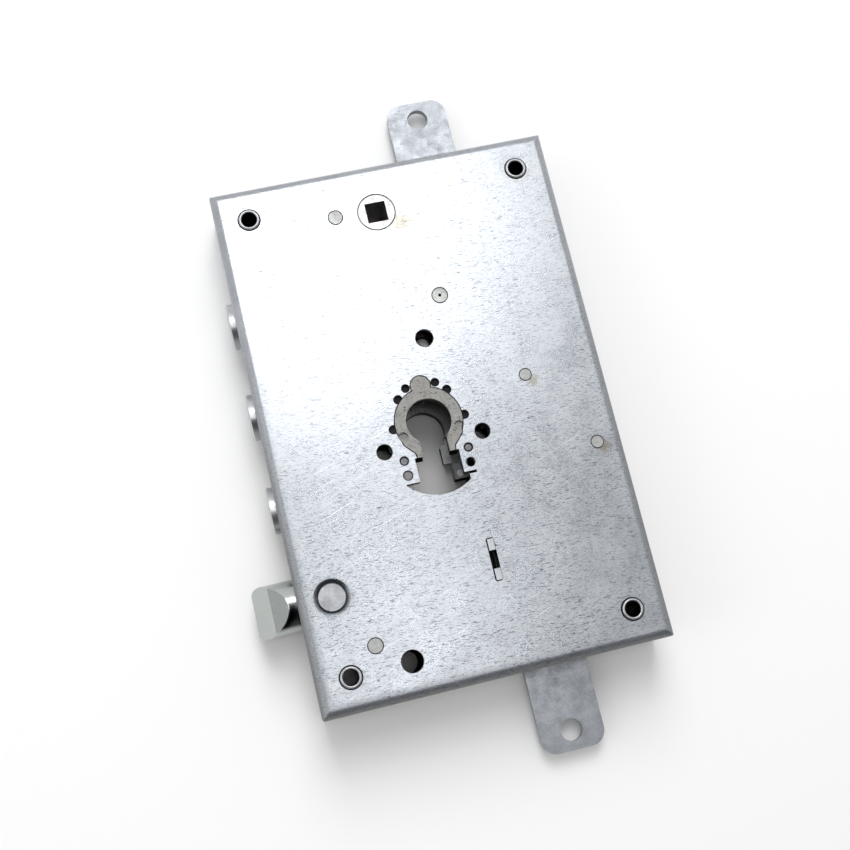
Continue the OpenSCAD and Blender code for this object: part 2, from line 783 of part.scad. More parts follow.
// Saddle that keeps the latch bolt in line behind the bolt wall
module latch_saddle() {
    web_t = 2;
    wall = 2;
    half = latch_d / 2 + sliding_gap;
    left = strip_x + strip_t + 0.1;
    cheek_l = 7;
    web_l = 13;
    cheek_z = bolt_z - 3.5;
    color("lightgray")
    difference() {
        union() {
            block([left, latch_y - half - wall, front_in - web_t], [left + web_l, latch_y + half + wall, front_in]);
            for (side = [-1, 1])
                block([left, latch_y + side * (half + wall / 2) - wall / 2, cheek_z],
                      [left + cheek_l, latch_y + side * (half + wall / 2) + wall / 2, front_in]);
        }
        bore(saddle_rivet_x, saddle_rivet_y, front_in - web_t, front_in, rivet_shank_d);
    }
}

// Rivet that holds the saddle, its flat head in the pressed dimple
module saddle_rivet() {
    head_d = 9.9;
    crown_d = 8.3;
    seat_z = case_t - 0.9;
    rim_t = 0.45;
    crown_t = 0.4;
    color("lightgray")
    union() {
        post(saddle_rivet_x, saddle_rivet_y, front_in - 2, seat_z, rivet_shank_d);
        post(saddle_rivet_x, saddle_rivet_y, seat_z, seat_z + rim_t, head_d);
        post(saddle_rivet_x, saddle_rivet_y, seat_z + rim_t, seat_z + rim_t + crown_t, crown_d);
    }
}

slot_l = 16.4;
slot_w = 3;
slot_corner_r = 0.8;
slot_nick = 0.9;

// Slot in the front plate for the two bracket tabs, with the small nick of the photographed one
module bracket_slot_2d() {
    nick_y = slot_l * 0.3;
    rounded_2d(slot_w, slot_l, slot_corner_r);
    polygon([
        [slot_w / 2 - slot_nick, nick_y - slot_nick / 2], [slot_w / 2, nick_y - slot_nick / 2],
        [slot_w / 2 + slot_nick, nick_y], [slot_w / 2, nick_y + slot_nick / 2],
        [slot_w / 2 - slot_nick, nick_y + slot_nick / 2]
    ]);
}

// Bracket that the latch spring presses on and the square stem runs through
module latch_spring_bracket() {
    tab_l = 4.3;
    tab_gap = 0.45;
    half_w = 11;
    low_z = bolt_z - stem_w / 2 - 4.5;
    saddle_z = bolt_z + stem_w / 2 + sliding_gap + 2.4;
    top_z = case_t - 0.15;
    tab_out = slot_l / 2 - tab_gap;
    stem_hole = stem_w + 2 * sliding_gap;
    color("gray")
    difference() {
        union() {
            block([bracket_x - bracket_t / 2, bracket_y - half_w, low_z],
                  [bracket_x + bracket_t / 2, bracket_y + half_w, front_in]);
            for (side = [-1, 1])
                translate([bracket_x, bracket_y + side * (tab_out - tab_l / 2), (front_in + top_z) / 2])
                    cube([bracket_t, tab_l, top_z - front_in], center = true);
        }
        block([bracket_x - slot_w, bracket_y - tab_out + tab_l, saddle_z],
              [bracket_x + slot_w, bracket_y + tab_out - tab_l, front_in + cut]);
        translate([bracket_x, latch_y, bolt_z])
            cube([bracket_t + 2 * cut, stem_hole, stem_hole], center = true);
    }
}

// Teeth of the carriage rack that meet the pinion over the whole throw
rack_first = -2;
rack_last = ceil(throw / rack_pitch) + 1;

// Tongue of the rack that is keyed into the carrier
module rack_key_2d() {
    translate([spine_x + spine_w - key_l, key_y - key_w / 2]) square([key_l, key_w]);
}

// Upright plate that the three deadbolts are riveted to
module bolt_carrier() {
    color("darkkhaki")
    difference() {
        translate([0, 0, carrier_z]) linear_extrude(carrier_t) difference() {
            translate([spine_x, bolt_ys[0] - bolt_d / 2]) square([spine_w, bolt_ys[2] - bolt_ys[0] + bolt_d]);
            translate([cyl_x - escutcheon_pitch / 2, cyl_y - escutcheon_down]) {
                circle(r = screw_clear, $fn = round_fn);
                translate([0, -screw_clear]) square(2 * screw_clear);
            }
            rack_key_2d();
        }
        for (y = bolt_ys) bore(spine_x + tail_l / 2, y, carrier_z, carrier_z + carrier_t, bolt_rivet_d);
    }
}

// Bar across the case with the rack below and the slot for the guide pin
module carriage_rack() {
    left = spine_x + spine_w;
    slot_end = guide_pin_x + throw + guide_pin_d / 2 + sliding_gap + arm_wall;
    rack_end = drive_x + (rack_last + 1.5) * rack_pitch;
    color("darkkhaki")
    translate([0, 0, carrier_z]) linear_extrude(carrier_t) difference() {
        union() {
            rack_key_2d();
            translate([left, rack_root_y]) square([max(rack_end, slot_end) - left, arm_top_y - rack_root_y]);
            translate([drive_x, rack_y]) rack_2d(rack_first, rack_last);
        }
        slot_2d([guide_pin_x, guide_pin_y], [guide_pin_x + throw, guide_pin_y], guide_pin_d + 2 * sliding_gap);
    }
}

bolt_rivet_d = 4;

// Round bolt with a chamfered nose and a slotted tail for the carrier
module deadbolt(y) {
    tip_x = edge_x - bolt_proud;
    color("whitesmoke")
    difference() {
        translate([tip_x, y, bolt_z]) rotate([0, 90, 0]) union() {
            cylinder(h = bolt_chamfer, d1 = bolt_d - 2 * bolt_chamfer, d2 = bolt_d, $fn = round_fn);
            translate([0, 0, bolt_chamfer])
                cylinder(h = bolt_tail_x - tip_x - bolt_chamfer, d = bolt_d, $fn = round_fn);
        }
        block([spine_x, y - bolt_d, carrier_z], [bolt_tail_x + cut, y + bolt_d, carrier_z + carrier_t]);
        bore(spine_x + tail_l / 2, y, rivet_z0, rivet_z1, bolt_rivet_d);
    }
}

module deadbolt_top() {
    deadbolt(bolt_ys[2]);
}

module deadbolt_middle() {
    deadbolt(bolt_ys[1]);
}

module deadbolt_bottom() {
    deadbolt(bolt_ys[0]);
}

rivet_z0 = bolt_z - bolt_d / 2 + 0.6;
rivet_z1 = bolt_z + bolt_d / 2 - 0.6;

module bolt_rivets() {
    color("gray") for (y = bolt_ys) post(spine_x + tail_l / 2, y, rivet_z0, rivet_z1, bolt_rivet_d);
}

// Wheel with a ring of lightening holes midway between its hub and its teeth
module wheel(x, y, teeth, turn, bore_d) {
    hub_r = bore_d / 2 + 3;
    root_r = wheel_module * (teeth / 2 - dedendum);
    translate([x, y, wheel_z]) difference() {
        rotate(turn) linear_extrude(wheel_t) gear_2d(teeth, wheel_module, tooth_play);
        translate([0, 0, -cut]) cylinder(h = wheel_t + 2 * cut, d = bore_d, $fn = round_fn);
        for (a = [0:72:288]) rotate(a) translate([(hub_r + root_r) / 2, 0, -cut])
            cylinder(h = wheel_t + 2 * cut, d = (root_r - hub_r) * 0.45, $fn = 32);
    }
}

module drive_wheel() {
    color("burlywood") wheel(drive_x, drive_y, drive_wheel_teeth, wheel_angle, drive_axle_d + 2 * running_gap);
}

module drive_pinion() {
    z0 = wheel_z + wheel_t;
    high = carrier_z + carrier_t + layer_gap - z0;
    color("peru")
    translate([drive_x, drive_y, z0]) difference() {
        rotate(90) linear_extrude(high) gear_2d(drive_pinion_teeth, rack_module, tooth_play);
        translate([0, 0, -cut]) cylinder(h = high + 2 * cut, d = drive_axle_d + 2 * running_gap, $fn = round_fn);
    }
}

module rod_wheel() {
    color("burlywood")
        wheel(rod_gear_x, rod_gear_y, rod_wheel_teeth, wheel_angle + 180 + 180 / rod_wheel_teeth,
              rod_axle_d + 2 * running_gap);
}

// Pinion between the two rods, with a plain neck up to its wheel
module rod_pinion() {
    low_z = cover_t + layer_gap;
    tooth_top = rod_z + rod_t;
    color("peru")
    translate([rod_gear_x, rod_gear_y, 0]) difference() {
        union() {
            translate([0, 0, low_z]) linear_extrude(tooth_top - low_z)
                gear_2d(rod_pinion_teeth, rack_module, tooth_play);
            post(0, 0, tooth_top, wheel_z, 2 * rod_pinion_r - 3);
        }
        bore(0, 0, low_z, wheel_z, rod_axle_d + 2 * running_gap);
    }
}

rod_corner_r = 6;
upper_arm_w = 7.4;
lower_arm_w = 9.9;
upper_strap_rise = 11.5;
lower_strap_drop = 31.2;
pin_strap_w = 5.1;
rod_rack_first = -2;
rod_rack_last = ceil(rod_travel / rack_pitch) + 1;

// Drilled tab of a rod that leaves the case, with its end at y = 0 and its body below
module rod_tab_2d(long) {
    difference() {
        translate([0, -long]) tab_2d(rod_w, long, rod_corner_r);
        translate([0, -rod_hole_inset]) circle(d = rod_hole_d, $fn = round_fn);
    }
}

module upper_rod() {
    end_y = case_h / 2 + rod_out;
    strap_y = rod_gear_y + upper_strap_rise;
    arm_low_y = rod_gear_y - (rod_rack_last + 1) * rack_pitch - 0.5;
    arm_left = upper_root_x - upper_arm_w;
    color("lightgray")
    translate([0, 0, rod_z]) linear_extrude(rod_t) {
        translate([rod_x, end_y]) rod_tab_2d(end_y - strap_y);
        translate([arm_left, arm_low_y]) square([upper_root_x - arm_left, strap_y - arm_low_y]);
        translate([upper_rack_x, rod_gear_y]) rotate(90) mirror([1, 0]) rack_2d(rod_rack_first, rod_rack_last);
    }
}

module lower_rod() {
    end_y = case_h / 2 + rod_out;
    strap_y = rod_pin_y - lower_strap_drop;
    left = rod_x - rod_w / 2;
    right = rod_x + rod_w / 2;
    far = rod_pin_x + pin_strap_w;
    rack_right = lower_root_x + lower_arm_w;
    neck_rise = 28;
    left_rise = 10;
    far_rise = 18;
    rack_top = rod_gear_y + (rod_rack_last + 1) * rack_pitch + 0.5;
    slot_low = rod_pin_y;
    slot_high = rod_pin_y + rod_travel;
    shoulder_y = slot_high + rod_pin_d / 2 + 3;
    color("lightgray")
    translate([0, 0, rod_z]) linear_extrude(rod_t) difference() {
        union() {
            translate([rod_x, -end_y]) mirror([0, 1]) rod_tab_2d(end_y + strap_y);
            polygon([
                [lower_root_x, rack_top], [lower_root_x, strap_y + neck_rise], [left, strap_y + left_rise],
                [left, strap_y - cut], [right, strap_y - cut], [right, strap_y],
                [far, strap_y + far_rise], [far, shoulder_y], [rack_right, shoulder_y], [rack_right, rack_top]
            ]);
            translate([lower_rack_x, rod_gear_y]) rotate(-90) mirror([1, 0])
                rack_2d(rod_rack_first, rod_rack_last);
        }
        slot_2d([rod_pin_x, slot_low], [rod_pin_x, slot_high], rod_pin_d + 2 * sliding_gap);
    }
}

// Follower with its square, journals in both plates, collars and the tooth row for the lever
module follower_hub() {
    collar_d = sector_module * (sector_teeth + 2 * addendum) + 0.6;
    collar_t = 1.5;
    hub_chamfer = 0.35;
    tooth_low = lever_z - layer_gap;
    tooth_high = lever_z + lever_t + layer_gap;
    color("gray")
    translate([spindle_x, spindle_y, 0]) difference() {
        union() {
            post(0, 0, 0, tooth_low, follower_d);
            post(0, 0, tooth_low - collar_t, tooth_low, collar_d);
            post(0, 0, cover_t + layer_gap, cover_t + 5, collar_d);
            translate([0, 0, tooth_low]) rotate(sector_angle) linear_extrude(tooth_high - tooth_low)
                gear_2d(sector_teeth, sector_module, tooth_play);
            post(0, 0, tooth_high, case_t - hub_chamfer, follower_d);
            translate([0, 0, case_t - hub_chamfer])
                cylinder(h = hub_chamfer, d1 = follower_d, d2 = follower_d - 2 * hub_chamfer, $fn = round_fn);
            post(0, 0, tooth_high, front_in - layer_gap, collar_d);
        }
        translate([0, 0, case_t / 2]) cube([spindle_square, spindle_square, case_t + 2 * cut], center = true);
    }
}

// Flat arm that tapers from the origin to a round end
module arm_2d(target, root_w, end_d) {
    shoulder = end_d * 0.48;
    translate(target) circle(d = end_d, $fn = round_fn);
    rotate(atan2(target[1], target[0])) polygon([
        [0, -root_w / 2], [norm(target), -shoulder], [norm(target), shoulder], [0, root_w / 2]
    ]);
}

module transfer_lever() {
    tip = [lever_pin_x - lever_x, lever_pin_y - lever_y];
    color("tan")
    translate([lever_x, lever_y, lever_z]) difference() {
        linear_extrude(lever_t) {
            rotate(sector_angle + 180 + 180 / sector_teeth) gear_2d(sector_teeth, sector_module, tooth_play);
            arm_2d(tip, 10, 8);
        }
        translate([0, 0, -cut]) linear_extrude(lever_t + 2 * cut) {
            circle(d = lever_axle_d + 2 * running_gap, $fn = round_fn);
            translate(tip) circle(d = link_pin_d, $fn = round_fn);
        }
    }
}

link_pin_top = bar_z + bar_t + 0.4;

module lever_link_pin() {
    color("silver") post(lever_pin_x, lever_pin_y, lever_z, link_pin_top, link_pin_d);
}

// Flat bar from the transfer lever down to the latch crank
module push_bar() {
    rim = 1.7;
    slot_w_link = link_pin_d + 2 * link_gap;
    top_y = lever_pin_y + slot_w_link / 2 + rim;
    low_y = crank_pin_y - slot_w_link / 2 - rim;
    foot_y = crank_pin_y + bar_foot_rise;
    crank_reach = crank_x + link_arm;
    foot_right = crank_reach + slot_w_link / 2 + rim;
    color("khaki")
    translate([0, 0, bar_z]) linear_extrude(bar_t) difference() {
        union() {
            translate([bar_left, low_y]) square([bar_right - bar_left, top_y - low_y]);
            translate([bar_left, low_y]) square([foot_right - bar_left, foot_y - low_y]);
        }
        slot_2d([lever_x - lever_arm, lever_pin_y], [lever_pin_x, lever_pin_y], slot_w_link);
        slot_2d([crank_pin_x, crank_pin_y], [crank_reach, crank_pin_y], slot_w_link);
    }
}

module latch_crank() {
    hub_wall = 3.05;
    up = [drive_pin_x - crank_x, drive_pin_y - crank_y];
    out = [crank_pin_x - crank_x, crank_pin_y - crank_y];
    color("tan")
    translate([crank_x, crank_y, lever_z]) linear_extrude(lever_t) difference() {
        union() {
            circle(d = crank_axle_d + 2 * hub_wall, $fn = round_fn);
            arm_2d(up, crank_root_w, crank_tip_w);
            arm_2d(out, crank_root_w, crank_tip_w);
        }
        circle(d = crank_axle_d + 2 * running_gap, $fn = round_fn);
        translate(up) circle(d = drive_pin_d, $fn = round_fn);
        translate(out) circle(d = link_pin_d, $fn = round_fn);
    }
}

module crank_link_pin() {
    color("silver") post(crank_pin_x, crank_pin_y, lever_z, link_pin_top, link_pin_d);
}

latch_slot_z = bolt_z + stem_w / 2 + 0.7;

module crank_drive_pin() {
    color("silver") post(drive_pin_x, drive_pin_y, latch_slot_z + layer_gap, lever_z + lever_t, drive_pin_d);
}

// Round latch bolt: two bevels on the nose, a flat and a cross slot for the crank on top, a socket for the stem
module latch_bolt() {
    r = latch_d / 2;
    nose_z = -0.28 * latch_d;
    knee = 0.515 * bevel_l;
    knee_z = 0.27 * latch_d;
    socket = 7;
    slot_half = drive_pin_d / 2 + link_gap;
    color("whitesmoke")
    difference() {
        translate([latch_tip_x, latch_y, bolt_z]) rotate([0, 90, 0]) union() {
            cylinder(h = bolt_chamfer, d1 = latch_d - 2 * bolt_chamfer, d2 = latch_d, $fn = round_fn);
            translate([0, 0, bolt_chamfer])
                cylinder(h = latch_tail_x - latch_tip_x - bolt_chamfer, d = latch_d, $fn = round_fn);
        }
        translate([latch_tip_x, latch_y + latch_d, bolt_z]) rotate([90, 0, 0]) linear_extrude(2 * latch_d)
            polygon([
                [-cut, nose_z], [0, nose_z], [knee, knee_z], [bevel_l, r], [bevel_l, r + cut], [-cut, r + cut]
            ]);
        block([latch_flat_x, latch_y - latch_d, latch_flat_z], [latch_tail_x + cut, latch_y + latch_d, case_t]);
        block([drive_pin_x - slot_half, drive_pin_y - slot_half, latch_slot_z],
              [drive_pin_x + slot_half, latch_y + slot_half, case_t]);
        block([latch_tail_x - socket, latch_y - stem_w / 2, bolt_z - stem_w / 2],
              [latch_tail_x + cut, latch_y + stem_w / 2, bolt_z + stem_w / 2]);
    }
}

module latch_stem() {
    socket = 7;
    color("silver")
    block([latch_tail_x - socket, latch_y - stem_w / 2, bolt_z - stem_w / 2],
          [stem_end_x, latch_y + stem_w / 2, bolt_z + stem_w / 2]);
}

// Plate clip on the stem that stops the latch bolt against the bracket
module stem_clip() {
    x = bracket_x + bracket_t / 2 + 0.1;
    half = stem_w / 2 + 3;
    color("dimgray")
    difference() {
        block([x, latch_y - half, bolt_z - half], [x + clip_t, latch_y + half, bolt_z + half]);
        block([x - cut, latch_y - stem_w / 2, bolt_z - stem_w / 2],
              [x + clip_t + cut, latch_y + stem_w / 2, bolt_z + stem_w / 2]);
    }
}

// Points of one ring of the spring wire, at a turn counted from the left end
spring_sides = 6;
spring_rings = 10;
spring_x0 = latch_tail_x + spring_wire_d / 2 + 0.05;
spring_x1 = bracket_x - bracket_t / 2 - spring_wire_d / 2 - 0.05;

function spring_ring(step) =
    let (
        turn = step / spring_rings,
        a = 360 * turn,
        x = spring_x0 + (spring_x1 - spring_x0) * turn / spring_turns
    )
    [
        for (k = [0:spring_sides - 1])
            let (
                b = 360 * k / spring_sides,
                r = spring_mean_d / 2 + spring_wire_d / 2 * cos(b)
            )
            [x + spring_wire_d / 2 * sin(b), latch_y + r * cos(a), bolt_z + r * sin(a)]
    ];

module latch_spring() {
    steps = spring_turns * spring_rings;
    points = [for (s = [0:steps]) each spring_ring(s)];
    n = spring_sides;
    sides = [
        for (s = [0:steps - 1], k = [0:n - 1])
            let (a = s * n + k, b = s * n + (k + 1) % n)
            each [[a, b, b + n], [a, b + n, a + n]]
    ];
    start = [for (k = [1:n - 2]) [0, k + 1, k]];
    end = [for (k = [1:n - 2]) [steps * n, steps * n + k, steps * n + k + 1]];
    color("lightgray") polyhedron(points, concat(sides, start, end));
}

front_shell();
back_cover();
fixing_tubes();
bolt_guide_strip();
front_cylinder_ring();
back_cylinder_ring();
anti_drill_plate();
back_ring_plate();
front_ring_pins();
back_ring_pins();
cylinder_guide();
cylinder_guide_pin();
carriage_guide_pin();
drive_gear_axle();
drive_gear_clip();
rod_gear_axle();
rod_guide_pin();
transfer_lever_axle();
latch_crank_axle();
push_bar_guides();
latch_saddle();
saddle_rivet();
latch_spring_bracket();
bolt_carrier();
carriage_rack();
deadbolt_top();
deadbolt_middle();
deadbolt_bottom();
bolt_rivets();
drive_wheel();
drive_pinion();
rod_wheel();
rod_pinion();
upper_rod();
lower_rod();
follower_hub();
transfer_lever();
lever_link_pin();
push_bar();
latch_crank();
crank_link_pin();
crank_drive_pin();
latch_bolt();
latch_stem();
stem_clip();
latch_spring();
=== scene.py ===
import math

import bmesh
import bpy
from mathutils import Euler, Matrix, Vector


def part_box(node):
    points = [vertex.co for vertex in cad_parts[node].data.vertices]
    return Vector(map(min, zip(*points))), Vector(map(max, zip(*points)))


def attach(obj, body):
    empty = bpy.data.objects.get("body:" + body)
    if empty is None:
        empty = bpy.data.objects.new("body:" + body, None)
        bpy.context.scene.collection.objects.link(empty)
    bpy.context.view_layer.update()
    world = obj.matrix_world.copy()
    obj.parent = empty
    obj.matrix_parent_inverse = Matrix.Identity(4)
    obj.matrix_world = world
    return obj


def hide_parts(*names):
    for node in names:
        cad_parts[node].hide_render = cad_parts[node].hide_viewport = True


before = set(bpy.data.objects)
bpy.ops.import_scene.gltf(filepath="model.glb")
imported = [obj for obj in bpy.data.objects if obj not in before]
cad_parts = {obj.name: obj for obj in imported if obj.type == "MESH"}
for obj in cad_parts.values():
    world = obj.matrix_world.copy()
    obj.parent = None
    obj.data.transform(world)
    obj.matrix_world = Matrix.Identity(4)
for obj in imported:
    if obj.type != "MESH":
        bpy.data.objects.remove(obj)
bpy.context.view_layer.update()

bl_info = {
    "name": "Mortice lock dressing",
    "version": (1, 0, 0),
    "blender": (4, 5, 0),
    "location": "View3D > Sidebar > Lock",
    "description": "Finishes, rim lips and the latch spring of a mortice door lock, with its studio",
    "category": "Object",
}

# Places and sizes from the frame, in metres

MM = 0.001
SPRING_LOW, SPRING_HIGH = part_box("latch_spring")
SHELL_LOW, SHELL_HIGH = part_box("front_shell")
TUBES_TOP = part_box("fixing_tubes")[1].z
BACK_RING_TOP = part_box("back_cylinder_ring")[1].z
LATCH_LOW, LATCH_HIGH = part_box("latch_bolt")
LATCH_MIDDLE = (LATCH_LOW + LATCH_HIGH) / 2
RIVET_LOW, RIVET_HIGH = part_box("saddle_rivet")
RIVET_X, RIVET_Y = (RIVET_LOW.x + RIVET_HIGH.x) / 2 / MM, (RIVET_LOW.y + RIVET_HIGH.y) / 2 / MM

# Where the four fixing tubes stand, and the outside radius of their ends
TUBE_X = 0.0534
TUBE_Y = 0.0887
TUBE_OUTSIDE = 0.00395

# Vertices and faces are put in order along a slanted way, so that each run makes the same mesh
SORTED_ALONG = Vector((1.0, 0.7321, 0.4173))

# Wire of the latch spring, the pitch of its closed turns as a share of the wire, and steps in a turn
SPRING_WIRE = 0.0012
SPRING_CLOSED = 1.02
SPRING_STEPS = 24

# The two bevels of the latch as planes: run, rise and offset
LATCH_BEVELS = ((0.589, 0.808, 0.000418), (0.854, 0.52, -0.002912))

# Painted shade on the latch: its start and full strength along Y and behind the bevels, and how it thins
# out
LATCH_SHADE_TOP = (0.0025, -0.0005)
LATCH_SHADE_FOOT = (-0.0088, -0.007)
LATCH_SHADE_START = (0.00006, 0.0003)
LATCH_SHADE_THIN = (0.001, 0.0025)
LATCH_SHADE_REST = 0.8
BEVEL_LINE = 0.00005
# Strength of the painted shade on one bevel of the latch
BEVEL_SHADE = 0.3

# Bands along the edges of the shell: the stained rim, the walls and the folds
RIM_BAND = 0.0018
WALL_REACH = 0.0019
FOLD_REACH = 0.0045

# How far below the front face the painted shade of the hollows and of the inside of the case begins
HOLLOW_BELOW = 0.0002
INSIDE_BELOW = 0.0012

# Noise levels of the streaks and the blots
STREAKS_RARE = 0.72
STREAKS_SPAN = 0.3
BLOT_DETAIL = 900.0
BLOT_CORE = 0.35

# Tones that come second in a material
# Near-black painted as shade inside the case, in gaps and in bores
SHADE_BLACK = (0.008, 0.008, 0.008)
PALE_GRAIN = (0.42, 0.42, 0.41)
OILY_STEEL = (0.2, 0.19, 0.16)
PORE = (0.07, 0.065, 0.05)
PLATING_CLOUD = (0.42, 0.44, 0.43)
PLATING_WIPE = (0.3, 0.31, 0.3)
# Near-black painted as shade on the latch
LATCH_SHADE_TONE = (0.012, 0.012, 0.016)
CUT_MARK = (0.14, 0.14, 0.14)
FLOOR_SHADE = (0.88, 0.88, 0.88)

# The floor lies just below the lock and reaches this far
FLOOR_GAP = 0.0004
FLOOR_REACH = 3.0

# Where the room that metal sees goes from dark to bright, and from no low light to all of it
ROOM_TURN = (-0.5, 0.4)
LOW_ROOM_TURN = (0.72, 0.1)

# Tarnish on the front plate, and painted shade round the rivet: place in mm, radius in mm, raggedness,
# strength, colour
PLATE_STAINS_AND_SHADE = (
    ((4.0, 76.0, 31.0), 5.5, 2.0, 0.6, "stain"),
    ((38.6, 4.0, 31.0), 3.2, 1.6, 0.5, "stain"),
    ((58.5, -27.0, 31.0), 3.6, 1.6, 0.55, "stain"),
    ((54.0, 87.6, 31.0), 6.5, 2.0, 0.3, "stain"),
    ((51.0, 91.5, 31.0), 7.0, 2.0, 0.35, "smear"),
    ((-50.0, -90.0, 31.0), 5.0, 1.8, 0.35, "smear"),
    ((12.5, -62.0, 31.0), 4.0, 1.8, 0.4, "smear"),
    # Painted shade of the rivet's dimple: a soft dark ring round the rivet
    ((RIVET_X, RIVET_Y, 31.0), 10.0, 0.4, 0.75, "smear"),
    ((RIVET_X, RIVET_Y, 31.0), 8.4, 0.2, 0.75, "speck"),
)

# Lamps: name, place, size, setting that holds the power, seen in metal
LAMPS = (
    ("key", (0.04, 0.45, 1.03), 0.5, "key_power", True),
    ("low", (0.03, -0.08, 1.03), 0.3, "low_power", True),
    ("fill", (-0.8, -0.1, 0.6), 0.5, "fill_power", True),
    ("sky", (0.1, 1.1, 1.1), 0.9, "sky_power", False),
)


# Settings

def colour(name, description, default):
    """A colour property."""
    return bpy.props.FloatVectorProperty(
        name=name, description=description, default=default, subtype="COLOR", size=3, min=0, max=1)


def length(name, description, default):
    """A size property in metres."""
    return bpy.props.FloatProperty(
        name=name, description=description, default=default, unit="LENGTH", min=0, precision=5)


def share(name, description, default):
    """A property from nothing to all."""
    return bpy.props.FloatProperty(
        name=name, description=description, default=default, subtype="FACTOR", min=0, max=1)


def power(name, description, default):
    """The power of a lamp."""
    return bpy.props.FloatProperty(name=name, description=description, default=default, unit="POWER", min=0)


class LockPlateSettings(bpy.types.PropertyGroup):
    """Look of the zinc plated sheet."""
    zinc: colour("Zinc", "Plating on the front plate", (0.38, 0.4, 0.43))
    bright: colour("Bright zinc", "Rubbed plating and fine scratches", (0.74, 0.77, 0.81))
    speck: colour("Speck", "Fine dark marks in the plating", (0.07, 0.077, 0.1))
    stain: colour("Stain", "Brown tarnish near the pins", (0.2, 0.17, 0.1))
    smear: colour("Smear", "Grey rubbed marks", (0.24, 0.255, 0.27))
    roughness: share("Roughness", "Roughness of the clean plating", 0.25)
    dash_length: length("Dash length", "Length of a fine mark", 0.0022)
    dash_width: length("Dash width", "Width of a fine mark", 0.0003)
    cloud_size: length("Cloud size", "Size of the cloudy patches", 0.009)
    # The fold band also holds painted shade, stronger towards the lower end
    fold_band: length("Fold band", "Width of the dull band along the folds", 0.006)
    fold_dull: share("Fold dullness", "Roughness added along the folds", 0.35)
    # The inside tone is painted shade, laid on the hollows and inner faces of the case
    inside: colour("Inside", "Dirty inner faces of the case and the tubes", (0.008, 0.008, 0.008))
    relief: length("Relief", "Depth of the surface marks", 0.000006)


class LockMetalSettings(bpy.types.PropertyGroup):
    """Colours of the other metals."""
    sinter: colour("Sintered steel", "Cylinder rings", (0.235, 0.235, 0.228))
    sinter_back: colour("Back ring steel", "Back cylinder ring", (0.42, 0.44, 0.45))
    hub: colour("Hub steel", "Follower", (0.5, 0.485, 0.5))
    polished: colour("Polished plating", "Deadbolts", (0.56, 0.57, 0.59))
    latch: colour("Latch plating", "Latch bolt", (0.46, 0.485, 0.47))
    rod: colour("Rod zinc", "Locking rods", (0.38, 0.4, 0.43))
    pin: colour("Pin steel", "Staked pins and axles", (0.42, 0.43, 0.425))
    dull_pin: colour("Dull pin steel", "Pins beside the cylinder rings", (0.22, 0.22, 0.23))
    rim: colour("Rim zinc", "Ends of the fixing tubes", (0.5, 0.51, 0.53))
    rivet: colour("Rivet zinc", "Saddle rivet", (0.5, 0.51, 0.53))
    inner: colour("Inner steel", "Pressed pieces inside the case", (0.3, 0.3, 0.31))
    hard: colour("Hard steel", "Anti-drill plate and clips", (0.035, 0.034, 0.036))
    guide: colour("Guide steel", "Cylinder guide", (0.07, 0.072, 0.075))
    gear: colour("Gear steel", "Machined wheels and pinions", (0.36, 0.34, 0.3))
    grease: colour("Grease", "Film of old grease on the inner pieces", (0.12, 0.09, 0.04))
    grain: length("Grain", "Size of the sintered grain", 0.0006)


class LockPieceSettings(bpy.types.PropertyGroup):
    """Sizes of the added pieces."""
    lip: length("Rim lip", "Radius of the rolled lip on a fixing tube", 0.0005)
    wire: length("Spring wire", "Diameter of the latch spring's wire", SPRING_WIRE)
    coil: length("Spring coil", "Mean diameter of the latch spring",
                 SPRING_HIGH.y - SPRING_LOW.y - SPRING_WIRE)
    turns: bpy.props.IntProperty(name="Spring turns", description="Open turns of the latch spring",
                                 default=12, min=4, max=24)


class LockStageSettings(bpy.types.PropertyGroup):
    """Floor, lamps and camera."""
    floor: colour("Floor", "Colour of the floor", (0.92, 0.92, 0.92))
    world: share("World", "Light from all round", 0.54)
    horizon: share("Dark side", "How bright metal sees the dark end of the room", 0.05)
    low_room: share("Low room", "How bright metal sees the room near the floor", 0.32)
    bright_way: bpy.props.FloatVectorProperty(
        name="Bright side", description="How much the two sides and the far end count as the bright side",
        default=(0.2, 1.0), size=2)
    key_power: power("Key lamp", "Power of the large soft lamp", 2.9)
    low_power: power("Low lamp", "Power of the lamp over the lower end", 0.7)
    fill_power: power("Fill lamp", "Power of the smaller lamp from the side", 1.0)
    sky_power: power("Sky lamp", "Power of the wide lamp that metal doesn't see", 9.6)
    camera_place: bpy.props.FloatVectorProperty(
        name="Camera", description="Where the camera stands", unit="LENGTH", subtype="TRANSLATION",
        default=(-0.0628, -0.0856, 0.4803))
    camera_turn: bpy.props.FloatVectorProperty(
        name="Camera turn", description="How the camera is turned", subtype="EULER",
        default=(math.radians(11.57), math.radians(-4.65), math.radians(-13.46)))
    lens: bpy.props.FloatProperty(name="Lens", description="Focal length", default=51.76, min=1,
                                  subtype="DISTANCE_CAMERA")


# Shader helpers

def add_node(tree, kind, inputs=None, **settings):
    """A new node with its settings and inputs; an input is a value or a socket of another node."""
    made = tree.nodes.new(kind)
    made.location = (len(tree.nodes) * 170, 0)
    for name, value in settings.items():
        setattr(made, name, value)
    for name, value in (inputs or {}).items():
        if isinstance(value, bpy.types.NodeSocket):
            tree.links.new(value, made.inputs[name])
        else:
            made.inputs[name].default_value = value
    return made


def combine(tree, operation, a, b=0.0):
    """The result of one sum on two values or sockets."""
    return add_node(tree, "ShaderNodeMath", {0: a, 1: b}, operation=operation).outputs[0]


def times(tree, a, b):
    """a multiplied by b."""
    return combine(tree, "MULTIPLY", a, b)


def plus(tree, a, b):
    """a with b added."""
    return combine(tree, "ADD", a, b)


def minus(tree, a, b):
    """a with b taken away."""
    return combine(tree, "SUBTRACT", a, b)


